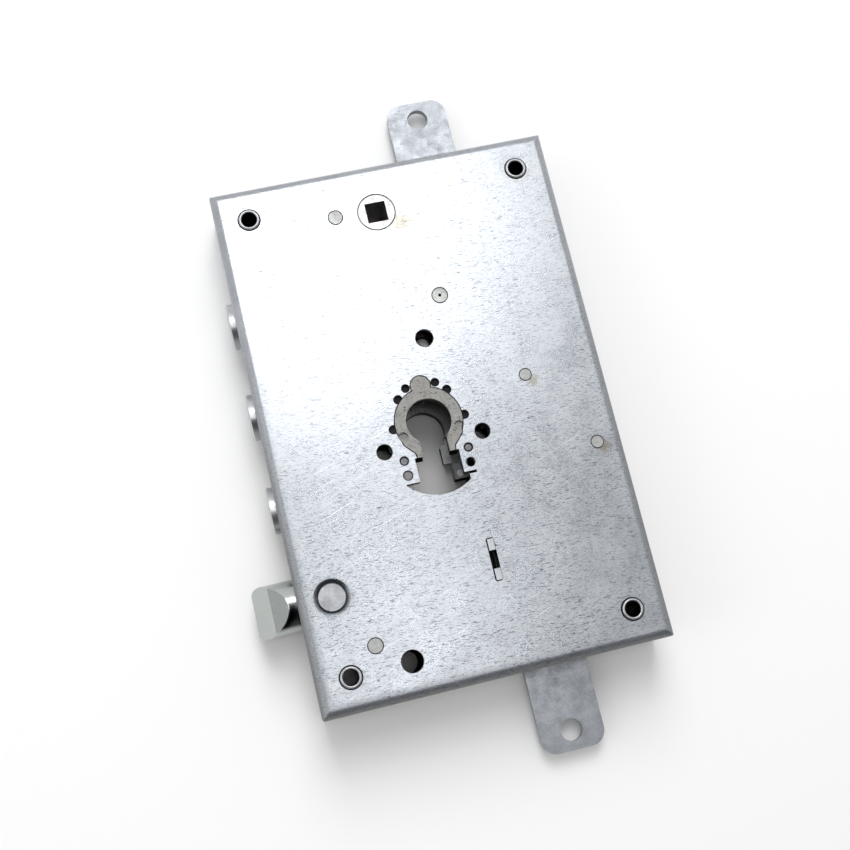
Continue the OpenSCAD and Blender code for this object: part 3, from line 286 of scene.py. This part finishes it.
def between(tree, value, low, high):
    """1 where a value lies between two others, 0 elsewhere."""
    return times(tree, combine(tree, "GREATER_THAN", value, low), combine(tree, "LESS_THAN", value, high))


def blend_colour(tree, amount, a, b):
    """Colour a turned into colour b by an amount."""
    return add_node(tree, "ShaderNodeMix", {0: amount, 6: a, 7: b}, data_type="RGBA").outputs[2]


def blend_value(tree, amount, a, b):
    """Value a turned into value b by an amount."""
    return add_node(tree, "ShaderNodeMix", {0: amount, 2: a, 3: b}, data_type="FLOAT").outputs[0]


def ramp_between(tree, value, low, high, to_low=0.0, to_high=1.0):
    """A value taken from one range to another with soft ends."""
    made = add_node(tree, "ShaderNodeMapRange", {
        "Value": value, "From Min": low, "From Max": high, "To Min": to_low, "To Max": to_high,
    }, interpolation_type="SMOOTHSTEP")
    return made.outputs["Result"]


def axes(tree, vector):
    """The X, Y and Z of a vector."""
    return add_node(tree, "ShaderNodeSeparateXYZ", {0: vector}).outputs


def rgba(tone):
    """A colour with full alpha."""
    return (tone[0], tone[1], tone[2], 1.0)


def effect(name, inputs, outputs, build):
    """A node group that is made once and then used in each material."""
    known = bpy.data.node_groups.get(name)
    if known:
        return known
    tree = bpy.data.node_groups.new(name, "ShaderNodeTree")
    for label, kind, default in inputs:
        socket = tree.interface.new_socket(label, in_out="INPUT", socket_type=kind)
        if default is not None:
            socket.default_value = default
    for label, kind in outputs:
        tree.interface.new_socket(label, in_out="OUTPUT", socket_type=kind)
    start = tree.nodes.new("NodeGroupInput")
    results = build(tree, start.outputs)
    end = tree.nodes.new("NodeGroupOutput")
    for label, socket in results.items():
        tree.links.new(socket, end.inputs[label])
    return tree


def use(tree, group, inputs):
    """The one output of a group that is placed in a material with its own values."""
    return add_node(tree, "ShaderNodeGroup", inputs, node_tree=group).outputs[0]


# Shared effects

def streaks():
    """Short marks or long scratches that run one way."""
    def build(tree, given):
        turned = add_node(tree, "ShaderNodeVectorRotate",
                          {"Vector": given["Vector"], "Angle": given["Turn"]}, rotation_type="Z_AXIS")
        sizes = add_node(tree, "ShaderNodeCombineXYZ",
                         {0: given["Length"], 1: given["Width"], 2: given["Width"]})
        scaled = add_node(tree, "ShaderNodeVectorMath", {0: turned.outputs[0], 1: sizes.outputs[0]},
                          operation="DIVIDE")
        noise = add_node(tree, "ShaderNodeTexNoise",
                         {"Vector": scaled.outputs[0], "Scale": 1.0, "Detail": 2.0, "Roughness": 0.6})
        start = minus(tree, STREAKS_RARE, times(tree, given["Amount"], STREAKS_SPAN))
        end = plus(tree, start, given["Softness"])
        return {"Mask": ramp_between(tree, noise.outputs["Fac"], start, end)}

    return effect("streaks", [
        ("Vector", "NodeSocketVector", None), ("Turn", "NodeSocketFloat", 0.0),
        ("Length", "NodeSocketFloat", 0.002), ("Width", "NodeSocketFloat", 0.0003),
        ("Amount", "NodeSocketFloat", 0.3), ("Softness", "NodeSocketFloat", 0.08),
    ], [("Mask", "NodeSocketFloat")], build)


def clouds():
    """Soft patches of a given size, from 0 to 1."""
    def build(tree, given):
        scaled = add_node(tree, "ShaderNodeVectorMath", {0: given["Vector"]}, operation="SCALE")
        tree.links.new(combine(tree, "DIVIDE", 1.0, given["Size"]), scaled.inputs["Scale"])
        noise = add_node(tree, "ShaderNodeTexNoise",
                         {"Vector": scaled.outputs[0], "Scale": 1.0, "Detail": 5.0, "Roughness": 0.62})
        return {"Value": ramp_between(tree, noise.outputs["Fac"], 0.3, 0.7)}

    return effect("clouds", [("Vector", "NodeSocketVector", None), ("Size", "NodeSocketFloat", 0.01)],
                  [("Value", "NodeSocketFloat")], build)


def blot():
    """A ragged patch round one place."""
    def build(tree, given):
        away = add_node(tree, "ShaderNodeVectorMath", {0: given["Vector"], 1: given["Place"]},
                        operation="DISTANCE")
        far = combine(tree, "DIVIDE", away.outputs["Value"], given["Radius"])
        scaled = add_node(tree, "ShaderNodeVectorMath", {0: given["Vector"], "Scale": BLOT_DETAIL},
                          operation="SCALE")
        noise = add_node(tree, "ShaderNodeTexNoise",
                         {"Vector": scaled.outputs[0], "Scale": 1.0, "Detail": 4.0})
        rough = times(tree, minus(tree, noise.outputs["Fac"], 0.5), given["Ragged"])
        return {"Mask": ramp_between(tree, plus(tree, far, rough), 1.0, BLOT_CORE)}

    return effect("blot", [
        ("Vector", "NodeSocketVector", None), ("Place", "NodeSocketVector", None),
        ("Radius", "NodeSocketFloat", 0.003), ("Ragged", "NodeSocketFloat", 0.8),
    ], [("Mask", "NodeSocketFloat")], build)


def near_edge():
    """A band along the four edges of a plate, 1 at the edge."""
    def build(tree, given):
        parts = axes(tree, given["Vector"])
        middle = axes(tree, given["Middle"])
        half = axes(tree, given["Half Size"])
        gaps = []
        for axis in (0, 1):
            off = combine(tree, "ABSOLUTE", minus(tree, parts[axis], middle[axis]))
            gaps.append(minus(tree, half[axis], off))
        nearest = combine(tree, "MINIMUM", gaps[0], gaps[1])
        return {"Mask": ramp_between(tree, nearest, given["Band"], 0.0)}

    return effect("near_edge", [
        ("Vector", "NodeSocketVector", None), ("Middle", "NodeSocketVector", None),
        ("Half Size", "NodeSocketVector", None), ("Band", "NodeSocketFloat", 0.002),
    ], [("Mask", "NodeSocketFloat")], build)


def clouded(tree, place, size):
    """Soft patches in a material."""
    return use(tree, clouds(), {"Vector": place, "Size": size})


def streaked(tree, place, turn, length, width, amount, softness):
    """Marks that run one way in a material."""
    return use(tree, streaks(), {"Vector": place, "Turn": turn, "Length": length, "Width": width,
                                 "Amount": amount, "Softness": softness})


def shell_band(tree, place, band):
    """Band along the four edges of the front shell."""
    return use(tree, near_edge(), {"Vector": place, "Middle": (SHELL_HIGH + SHELL_LOW) / 2,
                                   "Half Size": (SHELL_HIGH - SHELL_LOW) / 2, "Band": band})


# Materials

def begin_material(name):
    """An empty metal with its shader and its object coordinates."""
    made = bpy.data.materials.new(name)
    made.use_nodes = True
    tree = made.node_tree
    tree.nodes.clear()
    shader = add_node(tree, "ShaderNodeBsdfPrincipled", {"Metallic": 1.0})
    end = add_node(tree, "ShaderNodeOutputMaterial")
    tree.links.new(shader.outputs[0], end.inputs[0])
    place = add_node(tree, "ShaderNodeTexCoord").outputs["Object"]
    return made, tree, shader, place


def finish_surface(tree, shader, paint, roughness, height, depth):
    """Joins colour, roughness and relief to the shader."""
    tree.links.new(paint, shader.inputs["Base Color"])
    tree.links.new(roughness, shader.inputs["Roughness"])
    bump = add_node(tree, "ShaderNodeBump", {"Height": height, "Distance": depth, "Strength": 1.0})
    tree.links.new(bump.outputs[0], shader.inputs["Normal"])


def zinc_sheet(plate):
    """Zinc plated sheet with fine dashes, scratches, tarnish, painted shade round the rivet's dimple and
    along the folds, which are also rougher; its hollows and the inside of the case are painted dark as
    shade.
    """
    made, tree, shader, place = begin_material("zinc_sheet")
    spot = axes(tree, place)
    wide = clouded(tree, place, plate.cloud_size * 4)
    cloud = clouded(tree, place, plate.cloud_size)
    grain = clouded(tree, place, plate.dash_width * 1.6)
    dashes = streaked(tree, place, turn=0.05, length=plate.dash_length, width=plate.dash_width,
                      amount=0.5, softness=0.1)
    ticks = streaked(tree, place, turn=-0.12, length=plate.dash_length * 0.45,
                     width=plate.dash_width * 0.8, amount=0.55, softness=0.1)
    pits = streaked(tree, place, turn=0.9, length=plate.dash_width * 2.4,
                    width=plate.dash_width * 1.7, amount=0.22, softness=0.05)
    scratches = streaked(tree, place, turn=-0.35, length=0.03, width=0.0004, amount=0.12, softness=0.05)
    upright = streaked(tree, place, turn=1.53, length=0.05, width=0.0003, amount=0.12, softness=0.05)

    # The marks grow away from the upper corner of the bolt side; the painted shade and roughness along the
    # folds, and the rim stain, grow towards the lower end
    away = minus(tree, spot["Y"], times(tree, spot["X"], 0.8))
    worn = times(tree, ramp_between(tree, wide, 0.0, 1.0, 0.6, 1.0),
                 ramp_between(tree, away, 0.09, -0.03, 0.35, 1.0))
    lower = ramp_between(tree, spot["Y"], 0.07, -0.06, 0.15, 1.0)
    edge = times(tree, shell_band(tree, place, plate.fold_band), lower)
    rim = times(tree, shell_band(tree, place, RIM_BAND), lower)

    paint = rgba(plate.zinc)
    for mask, strength, tone in (
            (cloud, 0.25, plate.bright), (wide, 0.14, plate.smear), (grain, 0.26, plate.smear),
            (times(tree, dashes, worn), 0.9, plate.speck), (times(tree, ticks, worn), 0.7, plate.speck),
            (pits, 0.42, plate.speck), (scratches, 0.5, plate.bright), (upright, 0.4, plate.smear)):
        paint = blend_colour(tree, times(tree, mask, strength), paint, rgba(tone))
    for centre, radius, ragged, strength, tint in PLATE_STAINS_AND_SHADE:
        mark = use(tree, blot(), {"Vector": place, "Place": Vector(centre) * MM, "Radius": radius * MM,
                                  "Ragged": ragged})
        paint = blend_colour(tree, times(tree, mark, strength), paint, rgba(getattr(plate, tint)))
    # Painted shade along the folds in the smear tone, stronger towards the lower end
    paint = blend_colour(tree, times(tree, edge, 0.4), paint, rgba(plate.smear))
    paint = blend_colour(tree, times(tree, rim, 0.35), paint, rgba(plate.stain))

    # Painted shade: the hollows just below the face are darkened, and the inside of the case is painted
    # black
    for band, below, strength in ((FOLD_REACH, HOLLOW_BELOW, 0.45), (WALL_REACH, INSIDE_BELOW, 1.0)):
        inwards = combine(tree, "LESS_THAN", shell_band(tree, place, band), 0.001)
        deep = combine(tree, "LESS_THAN", spot["Z"], SHELL_HIGH.z - below)
        paint = blend_colour(tree, times(tree, times(tree, deep, inwards), strength), paint,
                             rgba(plate.inside))

    rough = plus(tree, times(tree, cloud, 0.08), plate.roughness)
    rough = plus(tree, rough, times(tree, dashes, 0.18))
    rough = plus(tree, rough, times(tree, edge, plate.fold_dull))
    finish_surface(tree, shader, paint, rough, grain, plate.relief)
    return made


def plain_metal(name, base, dark, roughness, grain, amount=0.5, relief=0.00002, shade_heights=None):
    """Metal with cloudy tone, short marks and a fine grain; painted black as shade between two given
    heights.
    """
    made, tree, shader, place = begin_material(name)
    cloud = clouded(tree, place, grain * 9)
    fine = clouded(tree, place, grain)
    marks = streaked(tree, place, turn=0.3, length=grain * 7, width=grain, amount=0.25, softness=0.1)
    paint = blend_colour(tree, times(tree, cloud, amount * 0.5), rgba(base), rgba(dark))
    paint = blend_colour(tree, times(tree, fine, amount * 0.5), paint, rgba(dark))
    paint = blend_colour(tree, times(tree, marks, amount), paint, rgba(dark))
    # Painted shade: black between the two heights, on faces inside the case or in a gap
    if shade_heights:
        within = between(tree, axes(tree, place)["Z"], shade_heights[0], shade_heights[1])
        paint = blend_colour(tree, within, paint, rgba(SHADE_BLACK))
    rough = plus(tree, times(tree, cloud, 0.12), roughness)
    finish_surface(tree, shader, paint, rough, minus(tree, fine, marks), relief)
    return made


def sintered_steel(name, base, metals, low, high):
    """Pressed powder steel with dark pores and pale grains, painted black as shade between two heights."""
    made, tree, shader, place = begin_material(name)
    pores = streaked(tree, place, turn=0.0, length=metals.grain, width=metals.grain,
                     amount=0.5, softness=0.12)
    pale = clouded(tree, place, metals.grain * 1.6)
    wide = clouded(tree, place, metals.grain * 12)
    paint = blend_colour(tree, times(tree, pale, 0.45), rgba(base), rgba(PALE_GRAIN))
    paint = blend_colour(tree, times(tree, wide, 0.3), paint, rgba(OILY_STEEL))
    paint = blend_colour(tree, times(tree, pores, 0.8), paint, rgba(PORE))
    # Painted shade: black on the faces between the two heights, inside the case
    within = between(tree, axes(tree, place)["Z"], low, high)
    paint = blend_colour(tree, within, paint, rgba(SHADE_BLACK))
    rough = plus(tree, times(tree, pale, 0.15), 0.42)
    finish_surface(tree, shader, paint, rough, minus(tree, pale, pores), depth=0.00005)
    return made


def latch_painted_shade(tree, place):
    """Mask of painted shade on the latch behind its bevels and below its middle line, faint on one bevel.
    """
    spot = axes(tree, place)
    along = minus(tree, spot["X"], LATCH_LOW.x)
    up = minus(tree, spot["Z"], LATCH_MIDDLE.z)
    behind = []
    for run, rise, offset in LATCH_BEVELS:
        flat = minus(tree, times(tree, along, run), times(tree, up, rise))
        behind.append(plus(tree, flat, offset))
    gap = combine(tree, "MINIMUM", behind[0], behind[1])
    off = minus(tree, spot["Y"], LATCH_MIDDLE.y)
    side = times(tree, ramp_between(tree, off, *LATCH_SHADE_TOP), ramp_between(tree, off, *LATCH_SHADE_FOOT))
    body = times(tree, ramp_between(tree, gap, *LATCH_SHADE_START),
                 ramp_between(tree, gap, *LATCH_SHADE_THIN, to_low=1.0, to_high=LATCH_SHADE_REST))
    on_bevel = combine(tree, "LESS_THAN", combine(tree, "ABSOLUTE", behind[0]), BEVEL_LINE)
    return combine(tree, "MAXIMUM", times(tree, side, body), times(tree, on_bevel, BEVEL_SHADE))


def polished_plating(name, tone, turn, roughness, tarnish=None):
    """Bright plating with wiping marks; the last argument makes a mask of places painted dark as shade."""
    made, tree, shader, place = begin_material(name)
    wipe = streaked(tree, place, turn, length=0.02, width=0.00025, amount=0.45, softness=0.2)
    cloud = clouded(tree, place, 0.006)
    paint = blend_colour(tree, times(tree, cloud, 0.3), rgba(tone), rgba(PLATING_CLOUD))
    paint = blend_colour(tree, times(tree, wipe, 0.25), paint, rgba(PLATING_WIPE))
    # Painted shade: a near-black tone where the given mask lies
    if tarnish:
        paint = blend_colour(tree, tarnish(tree, place), paint, rgba(LATCH_SHADE_TONE))
    rough = plus(tree, times(tree, cloud, 0.08), roughness)
    rough = plus(tree, rough, times(tree, wipe, 0.12))
    finish_surface(tree, shader, paint, rough, wipe, depth=0.000006)
    return made


def cut_steel(name, base, metals, wet, low=None):
    """Pressed steel inside the case with patches of a grease film, painted black as shade below a height.
    """
    made, tree, shader, place = begin_material(name)
    marks = streaked(tree, place, turn=0.8, length=0.008, width=0.0003, amount=0.35, softness=0.15)
    film = clouded(tree, place, 0.007)
    paint = blend_colour(tree, times(tree, marks, 0.4), rgba(base), rgba(CUT_MARK))
    paint = blend_colour(tree, times(tree, film, wet), paint, rgba(metals.grease))
    # Painted shade: black below the given height, inside the case
    if low:
        below = combine(tree, "LESS_THAN", axes(tree, place)["Z"], low)
        paint = blend_colour(tree, below, paint, rgba(SHADE_BLACK))
    rough = minus(tree, 0.46, times(tree, film, 0.2))
    finish_surface(tree, shader, paint, rough, marks, depth=0.00001)
    return made


def floor_surface(stage):
    """Matte pale floor with a barely seen tone."""
    made, tree, shader, place = begin_material("floor")
    shader.inputs["Metallic"].default_value = 0.0
    tone = clouded(tree, place, 0.4)
    paint = blend_colour(tree, times(tree, tone, 0.02), rgba(stage.floor), rgba(FLOOR_SHADE))
    tree.links.new(paint, shader.inputs["Base Color"])
    shader.inputs["Roughness"].default_value = 1.0
    shader.inputs["Specular IOR Level"].default_value = 0.0
    return made


def give(material, *names):
    """A material on CAD nodes."""
    for name in names:
        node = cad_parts[name]
        if not node.material_slots:
            node.data.materials.append(material)
        for slot in node.material_slots:
            slot.material = material


# Mesh helpers

def object_from(bm, name, material, body):
    """A finished smooth piece at the origin that rides on a body, its parts in a fixed order."""
    bmesh.ops.remove_doubles(bm, verts=bm.verts, dist=1e-7)
    bmesh.ops.recalc_face_normals(bm, faces=bm.faces)
    bm.verts.sort(key=lambda vert: vert.co.dot(SORTED_ALONG))
    bm.faces.sort(key=lambda face: face.calc_center_median().dot(SORTED_ALONG))
    mesh = bpy.data.meshes.new(name)
    bm.to_mesh(mesh)
    bm.free()
    mesh.materials.append(material)
    mesh.shade_smooth()
    made = bpy.data.objects.new(name, mesh)
    bpy.context.scene.collection.objects.link(made)
    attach(made, body)
    return made


def wire_circle(bm, centre, radius, sides):
    """A circle that stands upright across the X and Z axes, and its verts and edges."""
    matrix = Matrix.Translation(centre) @ Matrix.Rotation(math.radians(90), 4, "X")
    made = bmesh.ops.create_circle(bm, segments=sides, radius=radius, matrix=matrix)
    edges = dict.fromkeys(edge for vert in made["verts"] for edge in vert.link_edges)
    return made["verts"] + list(edges)


def spin_ring(bm, centre, radius, section, sides=12, steps=48):
    """A closed ring of round section about the Z axis through a centre."""
    circle = wire_circle(bm, centre + Vector((radius, 0, 0)), section, sides)
    bmesh.ops.spin(bm, geom=circle, cent=centre, axis=(0, 0, 1), dvec=(0, 0, 0),
                   angle=math.radians(360), steps=steps, use_merge=True, use_duplicate=False)


def close_end(bm, circle):
    """A face over one end of a tube."""
    edges = [part for part in circle if isinstance(part, bmesh.types.BMEdge)]
    bmesh.ops.contextual_create(bm, geom=edges)


# Operators

class LOCK_OT_dress_sheet(bpy.types.Operator):
    """Zinc plating on the folded shell and plain zinc on the back cover."""
    bl_idname = "lock.dress_sheet"
    bl_label = "Dress the sheet metal"

    def execute(self, context):
        plate = context.scene.lock_plate
        give(zinc_sheet(plate), "front_shell")
        # The back cover is painted black as shade everywhere above its back face
        give(plain_metal("cover_zinc", (0.44, 0.45, 0.47), dark=(0.2, 0.2, 0.21), roughness=0.42,
                         grain=0.0008, shade_heights=(0.0003, SHELL_HIGH.z)), "back_cover")
        return {"FINISHED"}


class LOCK_OT_dress_rings(bpy.types.Operator):
    """Sintered steel on the cylinder rings and plain steel on the follower."""
    bl_idname = "lock.dress_rings"
    bl_label = "Dress the rings and the follower"

    def execute(self, context):
        metals = context.scene.lock_metals
        # The rings are painted black as shade on their sides inside the case
        give(sintered_steel("sintered_steel", metals.sinter, metals, low=0.002, high=SHELL_HIGH.z - 0.0017),
             "front_cylinder_ring")
        give(sintered_steel("sintered_back", metals.sinter_back, metals, low=0.0003,
                            high=BACK_RING_TOP - 0.0003), "back_cylinder_ring")
        give(plain_metal("hub_steel", metals.hub, dark=(0.3, 0.29, 0.28), roughness=0.3, grain=0.0004,
                         amount=0.6), "follower_hub")
        return {"FINISHED"}


class LOCK_OT_dress_bolts(bpy.types.Operator):
    """Polished plating on the deadbolts and the latch bolt."""
    bl_idname = "lock.dress_bolts"
    bl_label = "Dress the bolts"

    def execute(self, context):
        metals = context.scene.lock_metals
        give(polished_plating("deadbolt_plating", metals.polished, turn=0.0, roughness=0.3),
             "deadbolt_top", "deadbolt_middle", "deadbolt_bottom")
        # The latch gets painted shade below its middle line and behind its bevels
        give(polished_plating("latch_plating", metals.latch, turn=1.2, roughness=0.16,
                              tarnish=latch_painted_shade), "latch_bolt")
        return {"FINISHED"}


class LOCK_OT_dress_rods(bpy.types.Operator):
    """Matte zinc on the two locking rods."""
    bl_idname = "lock.dress_rods"
    bl_label = "Dress the rods"

    def execute(self, context):
        metals = context.scene.lock_metals
        give(plain_metal("rod_zinc", metals.rod, dark=(0.12, 0.127, 0.14), roughness=0.3, grain=0.0005,
                         amount=0.65), "upper_rod", "lower_rod")
        return {"FINISHED"}


class LOCK_OT_dress_pins(bpy.types.Operator):
    """Turned steel on pins and axles, bright zinc on tubes and the rivet."""
    bl_idname = "lock.dress_pins"
    bl_label = "Dress the pins and tubes"

    def execute(self, context):
        metals = context.scene.lock_metals
        # The pins are painted black as shade in a band just below the front face, where they pass through
        # the sheet
        give(plain_metal("pin_steel", metals.pin, dark=(0.2, 0.2, 0.19), roughness=0.36, grain=0.0003,
                         amount=0.8, shade_heights=(SHELL_HIGH.z - 0.0013, SHELL_HIGH.z - 0.00012)),
             "carriage_guide_pin", "drive_gear_axle", "rod_gear_axle", "rod_guide_pin",
             "transfer_lever_axle", "latch_crank_axle")
        give(plain_metal("inner_pin_steel", metals.pin, dark=(0.2, 0.2, 0.19), roughness=0.36,
                         grain=0.0003, amount=0.8),
             "bolt_rivets", "lever_link_pin", "crank_link_pin", "crank_drive_pin")
        give(plain_metal("dull_pin_steel", metals.dull_pin, dark=(0.1, 0.1, 0.105), roughness=0.42,
                         grain=0.0003, amount=0.7),
             "front_ring_pins", "back_ring_pins", "cylinder_guide_pin")
        # The tubes are painted black as shade below the front face, leaving only the rims bright
        give(plain_metal("rim_zinc", metals.rim, dark=(0.25, 0.26, 0.27), roughness=0.3, grain=0.0005,
                         shade_heights=(0.0003, SHELL_HIGH.z - 0.0002)), "fixing_tubes")
        give(plain_metal("rivet_zinc", metals.rivet, dark=(0.16, 0.17, 0.19), roughness=0.34,
                         grain=0.0003, amount=0.8, relief=0.00003), "saddle_rivet")
        return {"FINISHED"}


class LOCK_OT_dress_works(bpy.types.Operator):
    """Greased steel on the carrier, levers, gears and plates inside."""
    bl_idname = "lock.dress_works"
    bl_label = "Dress the works"

    def execute(self, context):
        metals = context.scene.lock_metals
        give(cut_steel("inner_steel", metals.inner, metals, wet=0.3),
             "bolt_carrier", "carriage_rack", "bolt_guide_strip", "back_ring_plate", "push_bar_guides",
             "latch_saddle", "transfer_lever", "push_bar", "latch_crank", "latch_stem")
        # The bracket's tabs are painted black as shade below the front face
        give(cut_steel("tab_steel", metals.rod, metals, wet=0.1, low=SHELL_HIGH.z - 0.0006),
             "latch_spring_bracket")
        give(plain_metal("hard_steel", metals.hard, dark=(0.02, 0.02, 0.02), roughness=0.55,
                         grain=0.0006), "anti_drill_plate")
        give(plain_metal("guide_steel", metals.guide, dark=(0.05, 0.05, 0.05), roughness=0.42,
                         grain=0.0006), "cylinder_guide")
        give(cut_steel("gear_steel", metals.gear, metals, wet=0.45),
             "drive_wheel", "drive_pinion", "rod_wheel", "rod_pinion")
        give(cut_steel("spring_steel", metals.guide, metals, wet=0.1), "drive_gear_clip", "stem_clip")
        return {"FINISHED"}


class LOCK_OT_add_rim_lips(bpy.types.Operator):
    """Rolled lips on the ends of the four fixing tubes."""
    bl_idname = "lock.add_rim_lips"
    bl_label = "Add the rim lips"

    def execute(self, context):
        pieces = context.scene.lock_pieces
        metals = context.scene.lock_metals
        bm = bmesh.new()
        for x in (-TUBE_X, TUBE_X):
            for y in (-TUBE_Y, TUBE_Y):
                centre = Vector((x, y, TUBES_TOP - pieces.lip * 0.4))
                spin_ring(bm, centre, TUBE_OUTSIDE - pieces.lip, pieces.lip)
        finish = plain_metal("lip_zinc", metals.rim, dark=(0.35, 0.36, 0.37), roughness=0.26,
                             grain=0.0004, amount=0.4, relief=0.00001)
        made = object_from(bm, "tube_rim_lips", finish, "case")
        return {"FINISHED"}


class LOCK_OT_add_latch_spring(bpy.types.Operator):
    """Round wire spring behind the latch bolt, with closed end turns."""
    bl_idname = "lock.add_latch_spring"
    bl_label = "Add the latch spring"

    def execute(self, context):
        pieces = context.scene.lock_pieces
        metals = context.scene.lock_metals
        middle = (SPRING_LOW + SPRING_HIGH) / 2
        closed = pieces.wire * SPRING_CLOSED
        first = SPRING_LOW.x + pieces.wire / 2
        span = SPRING_HIGH.x - SPRING_LOW.x - pieces.wire
        open_pitch = (span - 2 * closed) / pieces.turns
        bm = bmesh.new()
        start = Vector((first, middle.y, middle.z + pieces.coil / 2))
        ring = wire_circle(bm, start, pieces.wire / 2, sides=10)
        close_end(bm, ring)
        at = first
        for turns, pitch in ((1, closed), (pieces.turns, open_pitch), (1, closed)):
            swept = bmesh.ops.spin(bm, geom=ring, cent=(at, middle.y, middle.z), axis=(1, 0, 0),
                                   dvec=(pitch / SPRING_STEPS, 0, 0), angle=math.tau * turns,
                                   steps=SPRING_STEPS * turns, use_merge=False, use_duplicate=False)
            ring = [part for part in swept["geom_last"] if not isinstance(part, bmesh.types.BMFace)]
            at += pitch * turns
        close_end(bm, ring)
        finish = cut_steel("spring_wire", metals.inner, metals, wet=0.2)
        made = object_from(bm, "latch_spring_wire", finish, "case")
        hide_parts("latch_spring")
        return {"FINISHED"}


class LOCK_OT_build_stage(bpy.types.Operator):
    """Pale floor, soft lamps and the camera."""
    bl_idname = "lock.build_stage"
    bl_label = "Build the stage"

    def execute(self, context):
        stage = context.scene.lock_stage
        scene = context.scene
        bm = bmesh.new()
        bmesh.ops.create_grid(bm, x_segments=8, y_segments=8, size=FLOOR_REACH,
                              matrix=Matrix.Translation((0, 0, SHELL_LOW.z - FLOOR_GAP)))
        mesh = bpy.data.meshes.new("floor")
        bm.to_mesh(mesh)
        bm.free()
        mesh.materials.append(floor_surface(stage))
        floor = bpy.data.objects.new("floor", mesh)
        scene.collection.objects.link(floor)

        for name, place, size, setting, mirrored in LAMPS:
            lamp = bpy.data.lights.new(name, "AREA")
            lamp.shape = "DISK"
            lamp.size = size
            lamp.energy = getattr(stage, setting)
            lamp_object = bpy.data.objects.new(name, lamp)
            lamp_object.location = place
            lamp_object.visible_glossy = mirrored
            lamp_object.rotation_euler = Vector(place).to_track_quat("Z", "Y").to_euler()
            scene.collection.objects.link(lamp_object)

        world = bpy.data.worlds.new("studio")
        world.use_nodes = True
        tree = world.node_tree
        tree.nodes.clear()
        way = add_node(tree, "ShaderNodeLightPath").outputs
        seen = axes(tree, add_node(tree, "ShaderNodeTexCoord").outputs["Generated"])
        facing = plus(tree, times(tree, combine(tree, "ABSOLUTE", seen["X"]), stage.bright_way[0]),
                      times(tree, seen["Y"], stage.bright_way[1]))
        room = ramp_between(tree, facing, *ROOM_TURN, stage.horizon, 1.0)
        low = ramp_between(tree, seen["Z"], *LOW_ROOM_TURN, 0.0, stage.low_room)
        room = combine(tree, "MAXIMUM", room, low)
        mirrored = combine(tree, "MAXIMUM", way["Is Glossy Ray"], way["Is Transmission Ray"])
        strength = blend_value(tree, mirrored, stage.world, room)
        strength = blend_value(tree, way["Is Camera Ray"], strength, 1.0)
        light = add_node(tree, "ShaderNodeBackground", {"Color": (1, 1, 1, 1), "Strength": strength})
        end = add_node(tree, "ShaderNodeOutputWorld")
        tree.links.new(light.outputs[0], end.inputs[0])
        scene.world = world

        eye = bpy.data.cameras.new("camera")
        eye.lens = stage.lens
        eye.sensor_width = 36.0
        eye.clip_start = 0.01
        eye.clip_end = 20.0
        camera = bpy.data.objects.new("camera", eye)
        camera.location = stage.camera_place
        camera.rotation_euler = Euler(stage.camera_turn)
        scene.collection.objects.link(camera)
        scene.camera = camera
        scene.view_settings.view_transform = "Standard"
        return {"FINISHED"}


STEPS = (
    LOCK_OT_dress_sheet,
    LOCK_OT_dress_rings,
    LOCK_OT_dress_bolts,
    LOCK_OT_dress_rods,
    LOCK_OT_dress_pins,
    LOCK_OT_dress_works,
    LOCK_OT_add_rim_lips,
    LOCK_OT_add_latch_spring,
    LOCK_OT_build_stage,
)

SETTINGS = {
    "lock_plate": LockPlateSettings,
    "lock_metals": LockMetalSettings,
    "lock_pieces": LockPieceSettings,
    "lock_stage": LockStageSettings,
}


class LOCK_PT_sidebar(bpy.types.Panel):
    """Sizes, colours and steps of the lock."""
    bl_idname = "LOCK_PT_sidebar"
    bl_label = "Mortice lock"
    bl_space_type = "VIEW_3D"
    bl_region_type = "UI"
    bl_category = "Lock"

    def draw(self, context):
        for name in SETTINGS:
            box = self.layout.box()
            group = getattr(context.scene, name)
            for field in group.bl_rna.properties:
                if field.identifier not in ("rna_type", "name"):
                    box.prop(group, field.identifier)
        for step in STEPS:
            self.layout.operator(step.bl_idname)


def register():
    """Makes the settings, operators and panel known."""
    for name, settings in SETTINGS.items():
        bpy.utils.register_class(settings)
        setattr(bpy.types.Scene, name, bpy.props.PointerProperty(type=settings))
    for step in STEPS:
        bpy.utils.register_class(step)
    bpy.utils.register_class(LOCK_PT_sidebar)


def unregister():
    """Takes them away again."""
    bpy.utils.unregister_class(LOCK_PT_sidebar)
    for step in reversed(STEPS):
        bpy.utils.unregister_class(step)
    for name, settings in reversed(list(SETTINGS.items())):
        delattr(bpy.types.Scene, name)
        bpy.utils.unregister_class(settings)


def main():
    """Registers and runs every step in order."""
    register()
    for step in STEPS:
        group, name = step.bl_idname.split(".")
        getattr(getattr(bpy.ops, group), name)()


if __name__ == "__main__":
    main()
